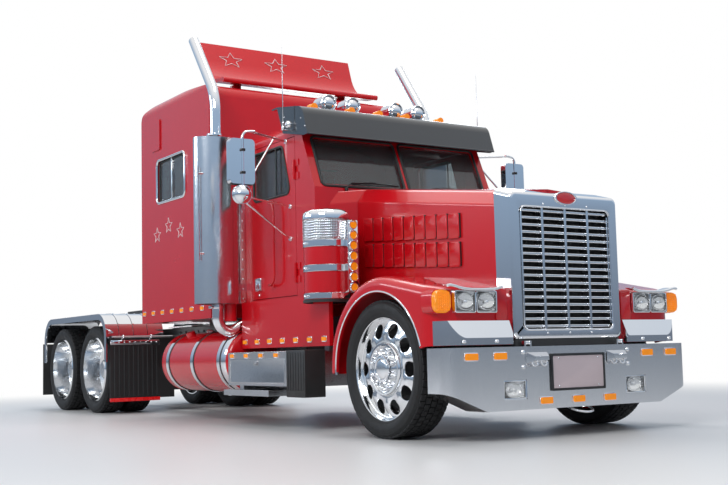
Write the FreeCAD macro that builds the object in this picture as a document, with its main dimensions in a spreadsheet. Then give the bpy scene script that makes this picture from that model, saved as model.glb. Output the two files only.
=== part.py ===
# Long-nosed tractor unit: sleeper cab, tilting hood, two drive axles with twin wheels, fifth wheel.
# Lengths are in millimetres. X points to the nose, Y to the driver's left, Z up, wheels on Z = 0.
# Every piece is drawn with X = 0 over the front axle and then placed so that the whole is centred.
# Pieces that the truck has on both sides are drawn on its right, as side distances from the middle.
import FreeCAD, Part
import Sketcher
import math
import os
import re

doc = FreeCAD.newDocument("TractorUnit")
sheet = doc.addObject("Spreadsheet::Sheet", "Sizes")
WORD = re.compile(r"[a-z]+_[a-z_]*[a-z]")
ALONG = {"x": (FreeCAD.Vector(0, 1, 0), 90), "y": (FreeCAD.Vector(1, 0, 0), -90),
         "z": (FreeCAD.Vector(0, 0, 1), 0)}
rows = []
MEET = 1e-6


def sizes(values):
    """Writes named sizes into the sheet as plain numbers with aliases."""
    for word, value in values.items():
        rows.append(word)
        row = len(rows)
        sheet.set(f"A{row}", word)
        sheet.set(f"B{row}", str(value))
        sheet.setAlias(f"B{row}", word)
    sheet.recompute()


def cell(text):
    """Turns an expression in named sizes into one that the document can evaluate."""
    return WORD.sub(lambda found: "Sizes." + found.group(0), str(text))


def size(text):
    """The present value of an expression in named sizes."""
    value = sheet.evalExpression(cell(text))
    return float(getattr(value, "Value", value))


def bind(thing, **expressions):
    for name, text in expressions.items():
        thing.setExpression(name.replace("__", "."), cell(text))
    return thing


def place(thing, x="0", y="0", z="0"):
    return bind(thing, Placement__Base__x=x, Placement__Base__y=y, Placement__Base__z=z)


def box(name, x, y, z):
    """A block from three pairs of low and high places."""
    made = bind(doc.addObject("Part::Box", name), Length=f"({x[1]}) - ({x[0]})", Width=f"({y[1]}) - ({y[0]})",
                Height=f"({z[1]}) - ({z[0]})")
    return place(made, x[0], y[0], z[0])


def rod(name, along, start, radius, length):
    """A round bar from its start point along x, y or z."""
    made = bind(doc.addObject("Part::Cylinder", name), Radius=radius, Height=length)
    made.Placement.Rotation = FreeCAD.Rotation(*ALONG[along])
    return place(made, *start)


def plane_of(body, role):
    return next(feature for feature in body.Origin.OriginFeatures if feature.Role == role)


def draw(body, role, outline, offset="0"):
    """A closed sketch through the outline's points. A third entry rounds that corner."""
    sketch = body.newObject("Sketcher::SketchObject", "Outline")
    sketch.AttachmentSupport = [(plane_of(body, role), "")]
    sketch.MapMode = "FlatFace"
    bind(sketch, AttachmentOffset__Base__z=offset)
    corners = [FreeCAD.Vector(size(point[0]), size(point[1]), 0) for point in outline]
    ends = []
    for index, point in enumerate(outline):
        here = corners[index]
        if len(point) == 2:
            ends.append((here, here, None))
            continue
        before = (corners[index - 1] - here).normalize()
        after = (corners[(index + 1) % len(corners)] - here).normalize()
        half = before.getAngle(after) / 2
        back = size(point[2]) / math.tan(half)
        middle = here + (before + after).normalize() * (size(point[2]) / math.sin(half))
        ends.append((here + before * back, here + after * back, middle))
    lines = []
    for index in range(len(outline)):
        start, end = ends[index][1], ends[(index + 1) % len(outline)][0]
        lines.append(sketch.addGeometry(Part.LineSegment(start, end)))
    for index, point in enumerate(outline):
        last, following = lines[index - 1], lines[index]
        spots = (("DistanceX", point[0], corners[index].x), ("DistanceY", point[1], corners[index].y))
        if ends[index][2] is None:
            sketch.addConstraint(Sketcher.Constraint("Coincident", last, 2, following, 1))
            tied = (following, 1)
        else:
            start, end, middle = ends[index]
            bulge = middle + (corners[index] - middle).normalize() * size(point[2])
            bend = sketch.addGeometry(Part.Arc(start, bulge, end))
            turned = sketch.getPoint(bend, 1).distanceToPoint(start) > sketch.getPoint(bend, 2).distanceToPoint(start)
            sketch.addConstraint(Sketcher.Constraint("Tangent", last, 2, bend, 2 if turned else 1))
            sketch.addConstraint(Sketcher.Constraint("Tangent", following, 1, bend, 1 if turned else 2))
            held = sketch.addConstraint(Sketcher.Constraint("Radius", bend, size(point[2])))
            sketch.setExpression(f"Constraints[{held}]", cell(point[2]))
            mark = sketch.addGeometry(Part.Point(corners[index]), True)
            sketch.addConstraint(Sketcher.Constraint("PointOnObject", mark, 1, last))
            sketch.addConstraint(Sketcher.Constraint("PointOnObject", mark, 1, following))
            tied = (mark, 1)
        for kind, text, value in spots:
            held = sketch.addConstraint(Sketcher.Constraint(kind, -1, 1, *tied, value))
            sketch.setExpression(f"Constraints[{held}]", cell(text))
    return sketch


def pad(name, role, outline, start, depth):
    """A body padded from an outline along its plane's normal."""
    body = doc.addObject("PartDesign::Body", name)
    sketch = draw(body, role, outline, start)
    feature = body.newObject("PartDesign::Pad", "Pad")
    feature.Profile = sketch
    bind(feature, Length=depth)
    sketch.Visibility = False
    return body


def side_pad(name, outline, inner, outer):
    """Side view outline (x, z), padded outboard on the right from one side distance to another."""
    return pad(name, "XZ_Plane", outline, inner, f"({outer}) - ({inner})")


def front_pad(name, outline, rear, front):
    """Front view outline (y, z), padded forwards."""
    return pad(name, "YZ_Plane", outline, rear, f"({front}) - ({rear})")


def top_pad(name, outline, low, high):
    """Plan view outline (x, y), padded upwards."""
    return pad(name, "XY_Plane", outline, low, f"({high}) - ({low})")


def turn(name, role, outline, axis):
    """A body turned from a half profile about its sketch's own axis."""
    body = doc.addObject("PartDesign::Body", name)
    sketch = draw(body, role, outline)
    feature = body.newObject("PartDesign::Revolution", "Revolution")
    feature.Profile = sketch
    feature.ReferenceAxis = (sketch, [axis])
    feature.Angle = 360
    return body


def wheel_turn(name, profile, x, side, z):
    """Turned about a crosswise axis from points (radius, side distance), on the right side."""
    made = turn(name, "XY_Plane", [(radius, f"-({across})") for radius, across in profile], "V_Axis")
    return place(made, x, side, z)


def loft(name, role, stations):
    """A body lofted through sketches, each an outline and its offset."""
    body = doc.addObject("PartDesign::Body", name)
    sketches = [draw(body, role, outline, offset) for outline, offset in stations]
    feature = body.newObject("PartDesign::AdditiveLoft", "Loft")
    feature.Profile = sketches[0]
    feature.Sections = sketches[1:]
    feature.Ruled = True
    return body


def cut(name, base, *tools):
    tool = tools[0] if len(tools) == 1 else fuse(name + "Tools", *tools)
    made = doc.addObject("Part::Cut", name)
    made.Base, made.Tool = base, tool
    return made


def fuse(name, *shapes):
    made = doc.addObject("Part::MultiFuse", name)
    made.Shapes = list(shapes)
    made.Refine = True
    return made


def common(name, base, tool):
    made = doc.addObject("Part::Common", name)
    made.Base, made.Tool = base, tool
    return made


def soften(name, base, radius, chosen):
    """Rounds the edges of a shape whose middle points pass a test."""
    doc.recompute()
    made = doc.addObject("Part::Fillet", name)
    made.Base = base
    made.Edges = [(index + 1, size(radius), size(radius)) for index, edge in enumerate(base.Shape.Edges)
                  if chosen(edge.CenterOfMass)]
    return made


def group(name, *shapes):
    made = doc.addObject("Part::Compound", name)
    made.Links = list(shapes)
    return made


def mirror(name, source):
    made = doc.addObject("Part::Mirroring", name)
    made.Source = source
    made.Normal = (0, 1, 0)
    return made


def both(name, source):
    """The piece and its mirror image on the truck's left."""
    return group(name, source, mirror(name + "Left", source))


def tube_path(name, role, points, offset, radius, hollow=None):
    """A round bar swept along a path of straight runs and arcs in one plane.
    Each point is (u, v) or, where the path bends, (u, v, bend radius)."""
    spots = [FreeCAD.Vector(size(point[0]), size(point[1]), 0) for point in points]
    edges, last = [], spots[0]
    for index in range(1, len(spots) - 1):
        here = spots[index]
        before = (spots[index - 1] - here).normalize()
        after = (spots[index + 1] - here).normalize()
        half = before.getAngle(after) / 2
        back = size(points[index][2]) / math.tan(half)
        middle = here + (before + after).normalize() * (size(points[index][2]) / math.sin(half))
        start, end = here + before * back, here + after * back
        if last.distanceToPoint(start) > MEET:
            edges.append(Part.makeLine(last, start))
        edges.append(Part.Arc(start, middle + (here - middle).normalize() * size(points[index][2]),
                              end).toShape())
        last = end
    edges.append(Part.makeLine(last, spots[-1]))
    wire = Part.Wire(edges)
    heading = (spots[1] - spots[0]).normalize()
    ring = Part.Wire([Part.makeCircle(size(radius), spots[0], heading)])
    solid = wire.makePipeShell([ring], True, True)
    made = doc.addObject("Part::Feature", name)
    turned = {"XZ": FreeCAD.Rotation(FreeCAD.Vector(1, 0, 0), 90),
              "YZ": FreeCAD.Rotation(FreeCAD.Vector(1, 1, 1), 120), "XY": FreeCAD.Rotation()}[role]
    solid = solid.transformGeometry(FreeCAD.Placement(FreeCAD.Vector(), turned).toMatrix())
    made.Shape = solid
    shift = {"XZ": (0, size(offset), 0), "YZ": (size(offset), 0, 0), "XY": (0, 0, size(offset))}[role]
    made.Placement = FreeCAD.Placement(FreeCAD.Vector(*shift), FreeCAD.Rotation())
    return made


parts = []


def part(label, *shapes, apart=False):
    """One finished piece of the truck, moved from the front axle's place to the centred frame."""
    made = group(label, *shapes) if apart or len(shapes) == 1 else fuse(label, *shapes)
    made.Label = label
    bind(made, Placement__Base__x="overall_length / 2 - nose_reach")
    parts.append(made)
    return made


# Whole truck. nose_reach runs from the front axle to the tips of the tow hooks.
whole_sizes = {"overall_length": 9250, "nose_reach": 947, "wheel_base": 6240, "axle_spacing": 1200,
               "tyre_radius": 528, "rim_radius": 392, "steer_tyre_width": 315, "steer_tyre_side": 1030,
               "drive_tyre_width": 290, "dual_side": 910, "dual_gap": 40, "hinge_gap": 6, "play_gap": 0.3,
               "over_run": 20}
sizes(whole_sizes)

# Frame: two channel rails that open inwards, tied by cross members.
frame_sizes = {"rail_bottom": 730, "rail_top": 1000, "rail_side": 432, "rail_flange": 90, "rail_wall": 10,
               "rail_front": 600, "rail_rear_gap": 113, "member_length": 110, "member_low": 860,
               "member_wall": 12}
sizes(frame_sizes)
rail = front_pad("Rail", [("-rail_side", "rail_bottom"), ("-rail_side + rail_flange", "rail_bottom"),
                          ("-rail_side + rail_flange", "rail_bottom + rail_wall"),
                          ("-rail_side + rail_wall", "rail_bottom + rail_wall"),
                          ("-rail_side + rail_wall", "rail_top - rail_wall"),
                          ("-rail_side + rail_flange", "rail_top - rail_wall"),
                          ("-rail_side + rail_flange", "rail_top"), ("-rail_side", "rail_top")],
                 "nose_reach - overall_length + rail_rear_gap", "rail_front")
member_sizes = {"member_first": -2150, "member_second": -3350, "member_third": -4550, "member_nose": 540}
sizes(member_sizes)
members = []
for index, spot in enumerate(("member_nose", "member_first", "member_second", "member_third",
                              "-wheel_base - axle_spacing / 2 + member_length * 5",
                              "-wheel_base - axle_spacing / 2 - member_length / 2",
                              "nose_reach - overall_length + rail_rear_gap")):
    members.append(box(f"Member{index}", (spot, f"{spot} + member_wall"), ("-rail_side + rail_wall",
                   "rail_side - rail_wall"), ("member_low", "rail_top - rail_wall")))
part("frame", both("Rails", rail), apart=True)
part("cross_members", *members, apart=True)

# Engine and gearbox: one plain block on four mounts that reach the rails.
engine_sizes = {"engine_front": 150, "engine_rear": -1050, "engine_half": 325, "engine_bottom": 600,
                "engine_top": 1560, "gearbox_rear": -1900, "gearbox_half": 210, "gearbox_bottom": 640,
                "gearbox_top": 990, "mount_low": 800, "mount_high": 900, "mount_length": 120}
sizes(engine_sizes)
engine = [box("EngineBlock", ("engine_rear", "engine_front"), ("-engine_half", "engine_half"),
              ("engine_bottom", "engine_top")),
          box("Gearbox", ("gearbox_rear", "engine_rear + over_run"), ("-gearbox_half", "gearbox_half"),
              ("gearbox_bottom", "gearbox_top"))]
for index, spot in enumerate(("engine_rear + mount_length", "engine_front - mount_length * 2")):
    engine.append(box(f"EngineMount{index}", (spot, f"{spot} + mount_length"),
                      ("-rail_side + rail_wall", "rail_side - rail_wall"), ("mount_low", "mount_high")))
part("engine", *engine)

# Radiator: a core between two tanks, on feet that stand on the rails.
radiator_sizes = {"radiator_front": 560, "radiator_rear": 430, "radiator_half": 490, "radiator_low": 1010,
                  "radiator_top": 1740, "radiator_tank": 90, "radiator_core_inset": 20}
sizes(radiator_sizes)
part("radiator",
     box("RadiatorCore", ("radiator_rear + radiator_core_inset", "radiator_front - radiator_core_inset"),
         ("-radiator_half + radiator_core_inset", "radiator_half - radiator_core_inset"),
         ("radiator_low", "radiator_top")),
     box("RadiatorTopTank", ("radiator_rear", "radiator_front"), ("-radiator_half", "radiator_half"),
         ("radiator_top - radiator_tank", "radiator_top")),
     box("RadiatorLowTank", ("radiator_rear", "radiator_front"), ("-radiator_half", "radiator_half"),
         ("rail_top", "radiator_low + radiator_tank")))

# Front axle: a dropped beam with king pin bosses and a leaf spring on each side.
front_axle_sizes = {"king_side": 860, "king_pin_radius": 20, "boss_radius": 45, "boss_half": 60,
                    "beam_half": 50, "beam_height": 95, "beam_flat_half": 560,
                    "spring_side": 388, "spring_half_width": 40, "spring_low": 462, "spring_top": 560,
                    "spring_reach": 590, "spring_tip_rise": 90, "spring_tip": 22, "hanger_length": 90}
sizes(front_axle_sizes)
beam = front_pad("Beam", [("-king_side", "tyre_radius + boss_half - over_run"),
                          ("-king_side", "tyre_radius - boss_half + over_run"),
                          ("-beam_flat_half", "spring_low - beam_height"),
                          ("beam_flat_half", "spring_low - beam_height"),
                          ("king_side", "tyre_radius - boss_half + over_run"),
                          ("king_side", "tyre_radius + boss_half - over_run"),
                          ("beam_flat_half", "spring_low"), ("-beam_flat_half", "spring_low")],
                 "-beam_half", "beam_half")
boss = rod("Boss", "z", ("0", "-king_side", "tyre_radius - boss_half"), "boss_radius", "boss_half * 2")
bore = rod("BossBore", "z", ("0", "-king_side", "tyre_radius - boss_half - over_run"),
           "king_pin_radius + play_gap", "boss_half * 2 + over_run * 2")
spring = side_pad("Spring", [("-spring_reach", "spring_top + spring_tip_rise"),
                             ("-spring_reach", "spring_top + spring_tip_rise - spring_tip"),
                             ("-beam_half", "spring_low"), ("beam_half", "spring_low"),
                             ("spring_reach", "spring_top + spring_tip_rise - spring_tip"),
                             ("spring_reach", "spring_top + spring_tip_rise"), ("0", "spring_top")],
                  "spring_side - spring_half_width", "spring_side + spring_half_width")
hanger = box("Hanger", ("-spring_reach", "-spring_reach + hanger_length"),
             ("-spring_side - spring_half_width", "-spring_side + spring_half_width"),
             ("spring_top + spring_tip_rise - spring_tip", "rail_bottom"))
hanger_front = box("HangerFront", ("spring_reach - hanger_length", "spring_reach"),
                   ("-spring_side - spring_half_width", "-spring_side + spring_half_width"),
                   ("spring_top + spring_tip_rise - spring_tip", "rail_bottom"))
solid_side = fuse("AxleSide", boss, spring, hanger, hanger_front)
axle_solid = fuse("AxleSolid", beam, solid_side, mirror("AxleSideLeft", solid_side))
part("front_axle", cut("FrontAxleCut", axle_solid, bore, mirror("BossBoreLeft", bore)))

# Steering knuckles: a king pin in two ears, a spindle and a steering arm; a tie rod joins the arms.
knuckle_sizes = {"spindle_radius": 35, "spindle_end": 1125, "ear_gap": 5, "ear_thick": 45, "ear_half": 45,
                 "yoke_thick": 28, "brake_radius": 165, "brake_thick": 14, "arm_reach": 200,
                 "arm_half": 24, "arm_thick": 25, "arm_rise": 10, "tie_eye_radius": 26,
                 "tie_eye_half": 16, "ball_radius": 12}
sizes(knuckle_sizes)
yoke_side = "king_side + boss_radius + ear_gap"
ear_top = "tyre_radius + boss_half + ear_gap"
ear_low = "tyre_radius - boss_half - ear_gap"
tie_top = f"{ear_low} - ear_thick"
knuckle = fuse(
    "Knuckle",
    box("EarTop", ("-ear_half", "ear_half"), (f"-({yoke_side} + yoke_thick)", "-king_side"),
        (ear_top, f"{ear_top} + ear_thick")),
    rod("EarTopRound", "z", ("0", "-king_side", ear_top), "ear_half", "ear_thick"),
    box("EarLow", ("-ear_half", "ear_half"), (f"-({yoke_side} + yoke_thick)", "-king_side"),
        (f"{ear_low} - ear_thick", ear_low)),
    rod("EarLowRound", "z", ("0", "-king_side", f"{ear_low} - ear_thick"), "ear_half", "ear_thick"),
    box("Yoke", ("-ear_half", "ear_half"), (f"-({yoke_side} + yoke_thick)", f"-({yoke_side})"),
        (f"{ear_low} - ear_thick", f"{ear_top} + ear_thick")),
    rod("KingPin", "z", ("0", "-king_side", f"{ear_low} - ear_thick"), "king_pin_radius",
        "boss_half * 2 + ear_gap * 2 + ear_thick * 2"),
    rod("Spindle", "y", ("0", "-spindle_end", "tyre_radius"), "spindle_radius",
        f"spindle_end - ({yoke_side})"),
    rod("BrakePlate", "y", ("0", f"-({yoke_side} + yoke_thick)", "tyre_radius"), "brake_radius",
        "brake_thick"),
    box("SteeringArm", ("-arm_reach", "0"), ("-king_side - arm_half", "-king_side + arm_half"),
        (f"{tie_top} + arm_rise", f"{tie_top} + arm_rise + arm_thick")),
    rod("BallPin", "z", ("-arm_reach + arm_half", "-king_side", f"{tie_top} - tie_eye_half * 2"),
        "ball_radius",
        "tie_eye_half * 2 + over_run + ear_gap"))
part("knuckle_right", knuckle)
part("knuckle_left", mirror("KnuckleLeft", knuckle))
tie_x = "-arm_reach + arm_half"
tie_eye = rod("TieEye", "z", (tie_x, "-king_side", f"{tie_top} - tie_eye_half * 2"), "tie_eye_radius",
              "tie_eye_half * 2")
tie_bore = rod("TieBore", "z", (tie_x, "-king_side", f"{tie_top} - tie_eye_half * 2 - over_run"),
               "ball_radius + play_gap", "tie_eye_half * 2 + over_run * 2")
tie = fuse("TieSolid", rod("TieBar", "y", (tie_x, "-king_side", f"{tie_top} - tie_eye_half"),
                           "tie_eye_half", "king_side * 2"), tie_eye, mirror("TieEyeLeft", tie_eye))
part("tie_rod", cut("TieCut", tie, tie_bore, mirror("TieBoreLeft", tie_bore)))

# Tyres: one profile of shares of section height (from the rim out) and width (from the middle).
tyre_height_share = (0.0, 0.28, 0.62, 0.93, 1.0)
tyre_width_share = (0.42, 0.49, 0.50, 0.45, 0.38)


def tyre(name, x, side, width):
    """A tyre as a turned ring that stands on the ground."""
    outer = [(f"rim_radius + (tyre_radius - rim_radius) * {height}", f"{side} + {width} * {share}")
             for height, share in zip(tyre_height_share, tyre_width_share)]
    inner = [(f"rim_radius + (tyre_radius - rim_radius) * {height}", f"{side} - {width} * {share}")
             for height, share in zip(tyre_height_share[::-1], tyre_width_share[::-1])]
    return wheel_turn(name, outer + inner, x, "0", "tyre_radius")


# Steered wheels: rim, dished disc with a ring of round holes, hub on the spindle, brake drum.
wheel_sizes = {"rim_half_share": 0.42, "rim_dish_share": 0.25, "hub_face_share": 0.7, "rim_wall": 14,
               "disc_thick": 12, "steer_disc_side": 1120, "disc_dish": 38,
               "hole_ring": 285, "hole_radius": 42, "hole_count": 10, "hub_radius": 95,
               "hub_cap_side": 1185, "hub_inner_side": 945, "drum_radius": 205, "drum_wall": 14,
               "drum_inner_side": 955, "nut_ring": 143, "nut_radius": 15, "rim_lip": 9}
sizes(wheel_sizes)
steer_rim = wheel_turn("SteerRim", [
    ("hub_radius", "hub_inner_side"), ("spindle_radius + play_gap", "hub_inner_side"),
    ("spindle_radius + play_gap", "spindle_end + ear_gap"), ("0", "spindle_end + ear_gap"),
    ("0", "hub_cap_side"), ("hub_radius * hub_face_share", "hub_cap_side"),
                                    ("hub_radius", "steer_disc_side + disc_dish / 2"),
    ("hub_radius", "steer_disc_side - disc_thick / 2 + disc_dish / 2"),
    ("nut_ring + nut_radius", "steer_disc_side - disc_thick / 2 + disc_dish / 2"),
    ("hole_ring", "steer_disc_side + disc_dish / 2"),
    ("rim_radius - rim_wall", "steer_disc_side - disc_dish / 2"),
    ("rim_radius - rim_wall", "steer_tyre_side + steer_tyre_width / 2 - rim_lip"),
    ("rim_radius - play_gap", "steer_tyre_side + steer_tyre_width * rim_half_share"),
    ("rim_radius - play_gap", "steer_tyre_side - steer_tyre_width * rim_half_share"),
    ("rim_radius - rim_wall", "steer_tyre_side - steer_tyre_width * rim_half_share"),
    ("rim_radius - rim_wall", "steer_disc_side - disc_dish / 2 - disc_thick"),
    ("hole_ring", "steer_disc_side + disc_dish / 2 - disc_thick"),
    ("drum_radius", "steer_disc_side - disc_dish / 2"),
    ("drum_radius", "drum_inner_side"), ("drum_radius - drum_wall", "drum_inner_side"),
    ("drum_radius - drum_wall", "steer_disc_side - disc_dish - disc_thick * 2"),
    ("hub_radius", "steer_disc_side - disc_dish - disc_thick * 2")], "0", "0", "tyre_radius")


def ring_of(name, tool, x, z, count):
    """Copies of a crosswise tool spaced evenly round a wheel's axis."""
    copies = []
    for index in range(int(size(count))):
        copy = doc.addObject("Part::Feature", f"{name}{index}")
        shape = tool.copy()
        shape.rotate(FreeCAD.Vector(size(x), 0, size(z)), FreeCAD.Vector(0, 1, 0), 360 / size(count) * index)
        copy.Shape = shape
        copies.append(copy)
    return copies


hole = Part.makeCylinder(size("hole_radius"), size("disc_dish * 4"),
                         FreeCAD.Vector(size("hole_ring"), -size("steer_disc_side + disc_dish * 2"),
                                        size("tyre_radius")), FreeCAD.Vector(0, 1, 0))
steer_wheel = cut("SteerWheel", steer_rim, *ring_of("Hole", hole, "0", "tyre_radius", "hole_count"))
steer_tyre = tyre("SteerTyre", "0", "steer_tyre_side", "steer_tyre_width")
part("tyre_front_right", steer_tyre)
part("tyre_front_left", mirror("SteerTyreLeft", steer_tyre))
part("wheel_front_right", steer_wheel)
part("wheel_front_left", mirror("SteerWheelLeft", steer_wheel))

# Drive wheels: twin rims whose discs meet at the middle of the pair, on one hub with its drum.
drive_axle_sizes = {"axle_end_side": 1010, "axle_tube_radius": 52, "drive_hub_radius": 120,
                    "drive_hub_side": 1075, "drive_disc_radius": 300, "drive_drum_inner_side": 600,
                    "drive_cap_radius": 85, "drive_cap_side": 1110, "dual_disc_thick": 14}
sizes(drive_axle_sizes)
dual_outer = "dual_side + dual_gap / 2 + drive_tyre_width / 2"
dual_inner = "dual_side - dual_gap / 2 - drive_tyre_width / 2"
dual_rim = wheel_turn("DualRim", [
    ("axle_tube_radius + play_gap", "drive_drum_inner_side"),
    ("axle_tube_radius + play_gap", "axle_end_side + ear_gap"), ("0", "axle_end_side + ear_gap"),
    ("0", "drive_cap_side"), ("drive_cap_radius", "drive_cap_side"), ("drive_hub_radius", "drive_hub_side"),
    ("drive_hub_radius", "dual_side + dual_disc_thick"), ("drive_disc_radius", "dual_side + dual_disc_thick"),
    ("rim_radius - rim_wall", f"{dual_outer} - drive_tyre_width * rim_dish_share"),
    ("rim_radius - rim_wall", f"{dual_outer} + drive_tyre_width / 2 - rim_lip"),
    ("rim_radius - play_gap", f"{dual_outer} + drive_tyre_width * rim_half_share"),
    ("rim_radius - play_gap", f"{dual_outer} - drive_tyre_width * rim_half_share"),
    ("drive_disc_radius + disc_dish", "dual_side"),
    ("rim_radius - play_gap", f"{dual_inner} + drive_tyre_width * rim_half_share"),
    ("rim_radius - play_gap", f"{dual_inner} - drive_tyre_width * rim_half_share"),
    ("rim_radius - rim_wall", f"{dual_inner} - drive_tyre_width * rim_half_share"),
    ("rim_radius - rim_wall", f"{dual_inner} + drive_tyre_width * rim_dish_share"),
    ("drive_disc_radius", "dual_side - dual_disc_thick"),
    ("drum_radius", "dual_side - dual_disc_thick"), ("drum_radius", "drive_drum_inner_side"),
    ("drum_radius - drum_wall", "drive_drum_inner_side"),
    ("drum_radius - drum_wall", "dual_side - dual_disc_thick * 2"),
    ("drive_hub_radius", "dual_side - dual_disc_thick * 2"), ("drive_hub_radius", "drive_drum_inner_side")],
    "0", "0", "tyre_radius")
twin_tyre = group("TwinTyres", tyre("OuterTyre", "0", dual_outer, "drive_tyre_width"),
                  tyre("InnerTyre", "0", dual_inner, "drive_tyre_width"))
for row, back in (("mid", "-wheel_base"), ("rear", "-wheel_base - axle_spacing")):
    for side, source_rim, source_tyre in (("right", dual_rim, twin_tyre),
                                          ("left", mirror("DualRimLeft" + row, dual_rim),
                                           mirror("TwinTyresLeft" + row, twin_tyre))):
        for label, source in ((f"tyres_{row}_{side}", source_tyre), (f"wheels_{row}_{side}", source_rim)):
            part(label, place(group(label + "At", source), back))

# Drive axles: housings with their differentials, spring packs on the rails and the prop shafts.
housing_sizes = {"housing_radius": 75, "diff_radius": 215, "diff_half": 150, "diff_nose": 330,
                 "nose_radius": 95, "saddle_half": 60, "saddle_length": 150, "prop_radius": 55,
                 "prop_front": -1935, "prop_height": 780, "prop_flange": 80}
sizes(housing_sizes)
drive = []
for index, back in enumerate(("-wheel_base", "-wheel_base - axle_spacing")):
    drive += [rod(f"Housing{index}", "y", (back, "-drive_drum_inner_side", "tyre_radius"), "housing_radius",
                  "drive_drum_inner_side * 2"),
              rod(f"AxleTube{index}", "y", (back, "-axle_end_side", "tyre_radius"), "axle_tube_radius",
                  "axle_end_side * 2"),
              place(turn(f"Diff{index}", "XY_Plane", [("0", "-diff_half"), ("nose_radius", "-diff_half"),
                                                      ("diff_radius", "-diff_half / 3"),
                                                      ("diff_radius", "diff_half / 3"),
                                                      ("nose_radius", "diff_half"), ("0", "diff_half")],
                         "V_Axis"), back, "0", "tyre_radius"),
              rod(f"DiffNose{index}", "x", (back, "0", "tyre_radius + nose_radius / 2"), "nose_radius",
                  "diff_nose")]
    for side in ("-", ""):
        low = "-rail_side - over_run" if side else "rail_side - saddle_half * 2 + over_run"
        drive.append(box(f"Saddle{index}{side or 'Left'}".replace("-", "Right"),
                         (f"{back} - saddle_length / 2", f"{back} + saddle_length / 2"),
                         (low, f"{low} + saddle_half * 2"), ("tyre_radius", "rail_bottom")))
drive.append(rod("PropMid", "x", ("-wheel_base - axle_spacing", "0", "tyre_radius + nose_radius / 2"),
                 "prop_radius", "axle_spacing"))
span = ("sqrt((prop_front + wheel_base - diff_nose) ^ 2 + (prop_height - tyre_radius - nose_radius / 2) ^ 2)")
prop = Part.makeCylinder(size("prop_radius"), size(span),
                         FreeCAD.Vector(size("-wheel_base + diff_nose"), 0,
                                        size("tyre_radius + nose_radius / 2")),
                         FreeCAD.Vector(size("prop_front + wheel_base - diff_nose"), 0,
                                        size("prop_height - tyre_radius - nose_radius / 2")))
prop_front_bar = doc.addObject("Part::Feature", "PropFront")
prop_front_bar.Shape = prop
drive.append(rod("PropFlange", "x", ("prop_front - over_run", "0", "prop_height"), "prop_flange",
                 "gearbox_rear - prop_front + over_run"))
part("drive_axles", *drive, prop_front_bar)

# Hood hinge: a crosswise pin on each side, on posts on the bumper, just below the grille surround.
tilt_sizes = {"tilt_x": 860, "tilt_z": 700, "tilt_pin": 12, "tilt_eye": 15, "tilt_side": 470,
              "tilt_eye_half": 20, "tilt_arm": 30, "tilt_post": 14}
sizes(tilt_sizes)

# Bumper: a deep polished tray, open to the rear, with rounded ends that sweep up and two fog lamp openings.
bumper_sizes = {"bumper_front": 887, "bumper_depth": 240, "bumper_half": 1220, "bumper_low": 217,
                "bumper_top": 674, "bumper_flat_half": 881, "bumper_end_low": 355, "bumper_wall": 10,
                "bumper_round": 110, "fog_side": 613, "fog_half": 110, "fog_low": 294, "fog_high": 434}
sizes(bumper_sizes)


def bumper_outline(inset):
    """Front view of the bumper, inset by a wall."""
    return [(f"-bumper_half + {inset}", f"bumper_top - {inset}"),
            (f"-bumper_half + {inset}", f"bumper_end_low + {inset}"),
            (f"-bumper_flat_half + {inset} / 2", f"bumper_low + {inset}"),
            (f"bumper_flat_half - {inset} / 2", f"bumper_low + {inset}"),
            (f"bumper_half - {inset}", f"bumper_end_low + {inset}"),
            (f"bumper_half - {inset}", f"bumper_top - {inset}")]


def bumper_block(name, inset, rear):
    """The bumper's solid form with its front corners rounded in plan."""
    plan = [(rear, f"-bumper_half + {inset}"), (rear, f"bumper_half - {inset}"),
            (f"bumper_front - {inset}", f"bumper_half - {inset}", f"bumper_round - {inset}"),
            (f"bumper_front - {inset}", f"-bumper_half + {inset}", f"bumper_round - {inset}")]
    return common(name, front_pad(name + "Face", bumper_outline(inset), rear, "bumper_front"),
                  top_pad(name + "Plan", plan, "bumper_low", "bumper_top"))


bumper_outer = bumper_block("BumperOuter", "0", "bumper_front - bumper_depth")
bumper_inner = bumper_block("BumperInner", "bumper_wall", "bumper_front - bumper_depth - over_run")
fog_hole = box("FogHole", ("bumper_front - bumper_wall - over_run", "bumper_front + over_run"),
               ("-fog_side - fog_half", "-fog_side + fog_half"), ("fog_low", "fog_high"))
bracket_sizes = {"bracket_rear": 420, "bracket_thick": 12, "bracket_low": 400, "bracket_high": 900,
                 "bracket_nose_top": 640}
sizes(bracket_sizes)
bumper_arm = side_pad("BumperArm", [("bracket_rear", "rail_bottom"), ("rail_front", "bracket_low"),
                                    ("bumper_front - bumper_wall / 2", "bracket_low"),
                                    ("bumper_front - bumper_wall / 2", "bracket_nose_top"),
                                    ("rail_front + over_run", "bracket_nose_top"),
                                    ("rail_front", "rail_bottom"),
                                    ("rail_front", "bracket_high"), ("bracket_rear", "bracket_high")],
                      "rail_side", "rail_side + bracket_thick")
tilt_posts = [box(f"TiltPost{index}", ("tilt_x - tilt_eye", "tilt_x + tilt_eye"),
                  (f"-({side}) - tilt_post", f"-({side})"),
                  ("bumper_top - bumper_wall / 2", "tilt_z + tilt_eye"))
              for index, side in enumerate(("tilt_side + tilt_eye_half + play_gap",
                                            "tilt_side - tilt_eye_half - play_gap - tilt_post"))]
tilt_pin = rod("TiltPin", "y", ("tilt_x", "-tilt_side - tilt_eye_half - tilt_post", "tilt_z"), "tilt_pin",
               "tilt_eye_half * 2 + tilt_post * 2")
tilt_set = fuse("TiltSet", *tilt_posts, tilt_pin)
part("bumper", cut("BumperCut", bumper_outer, bumper_inner, fog_hole, mirror("FogHoleLeft", fog_hole)),
     bumper_arm,
     mirror("BumperArmLeft", bumper_arm), tilt_set, mirror("TiltSetLeft", tilt_set))

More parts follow.
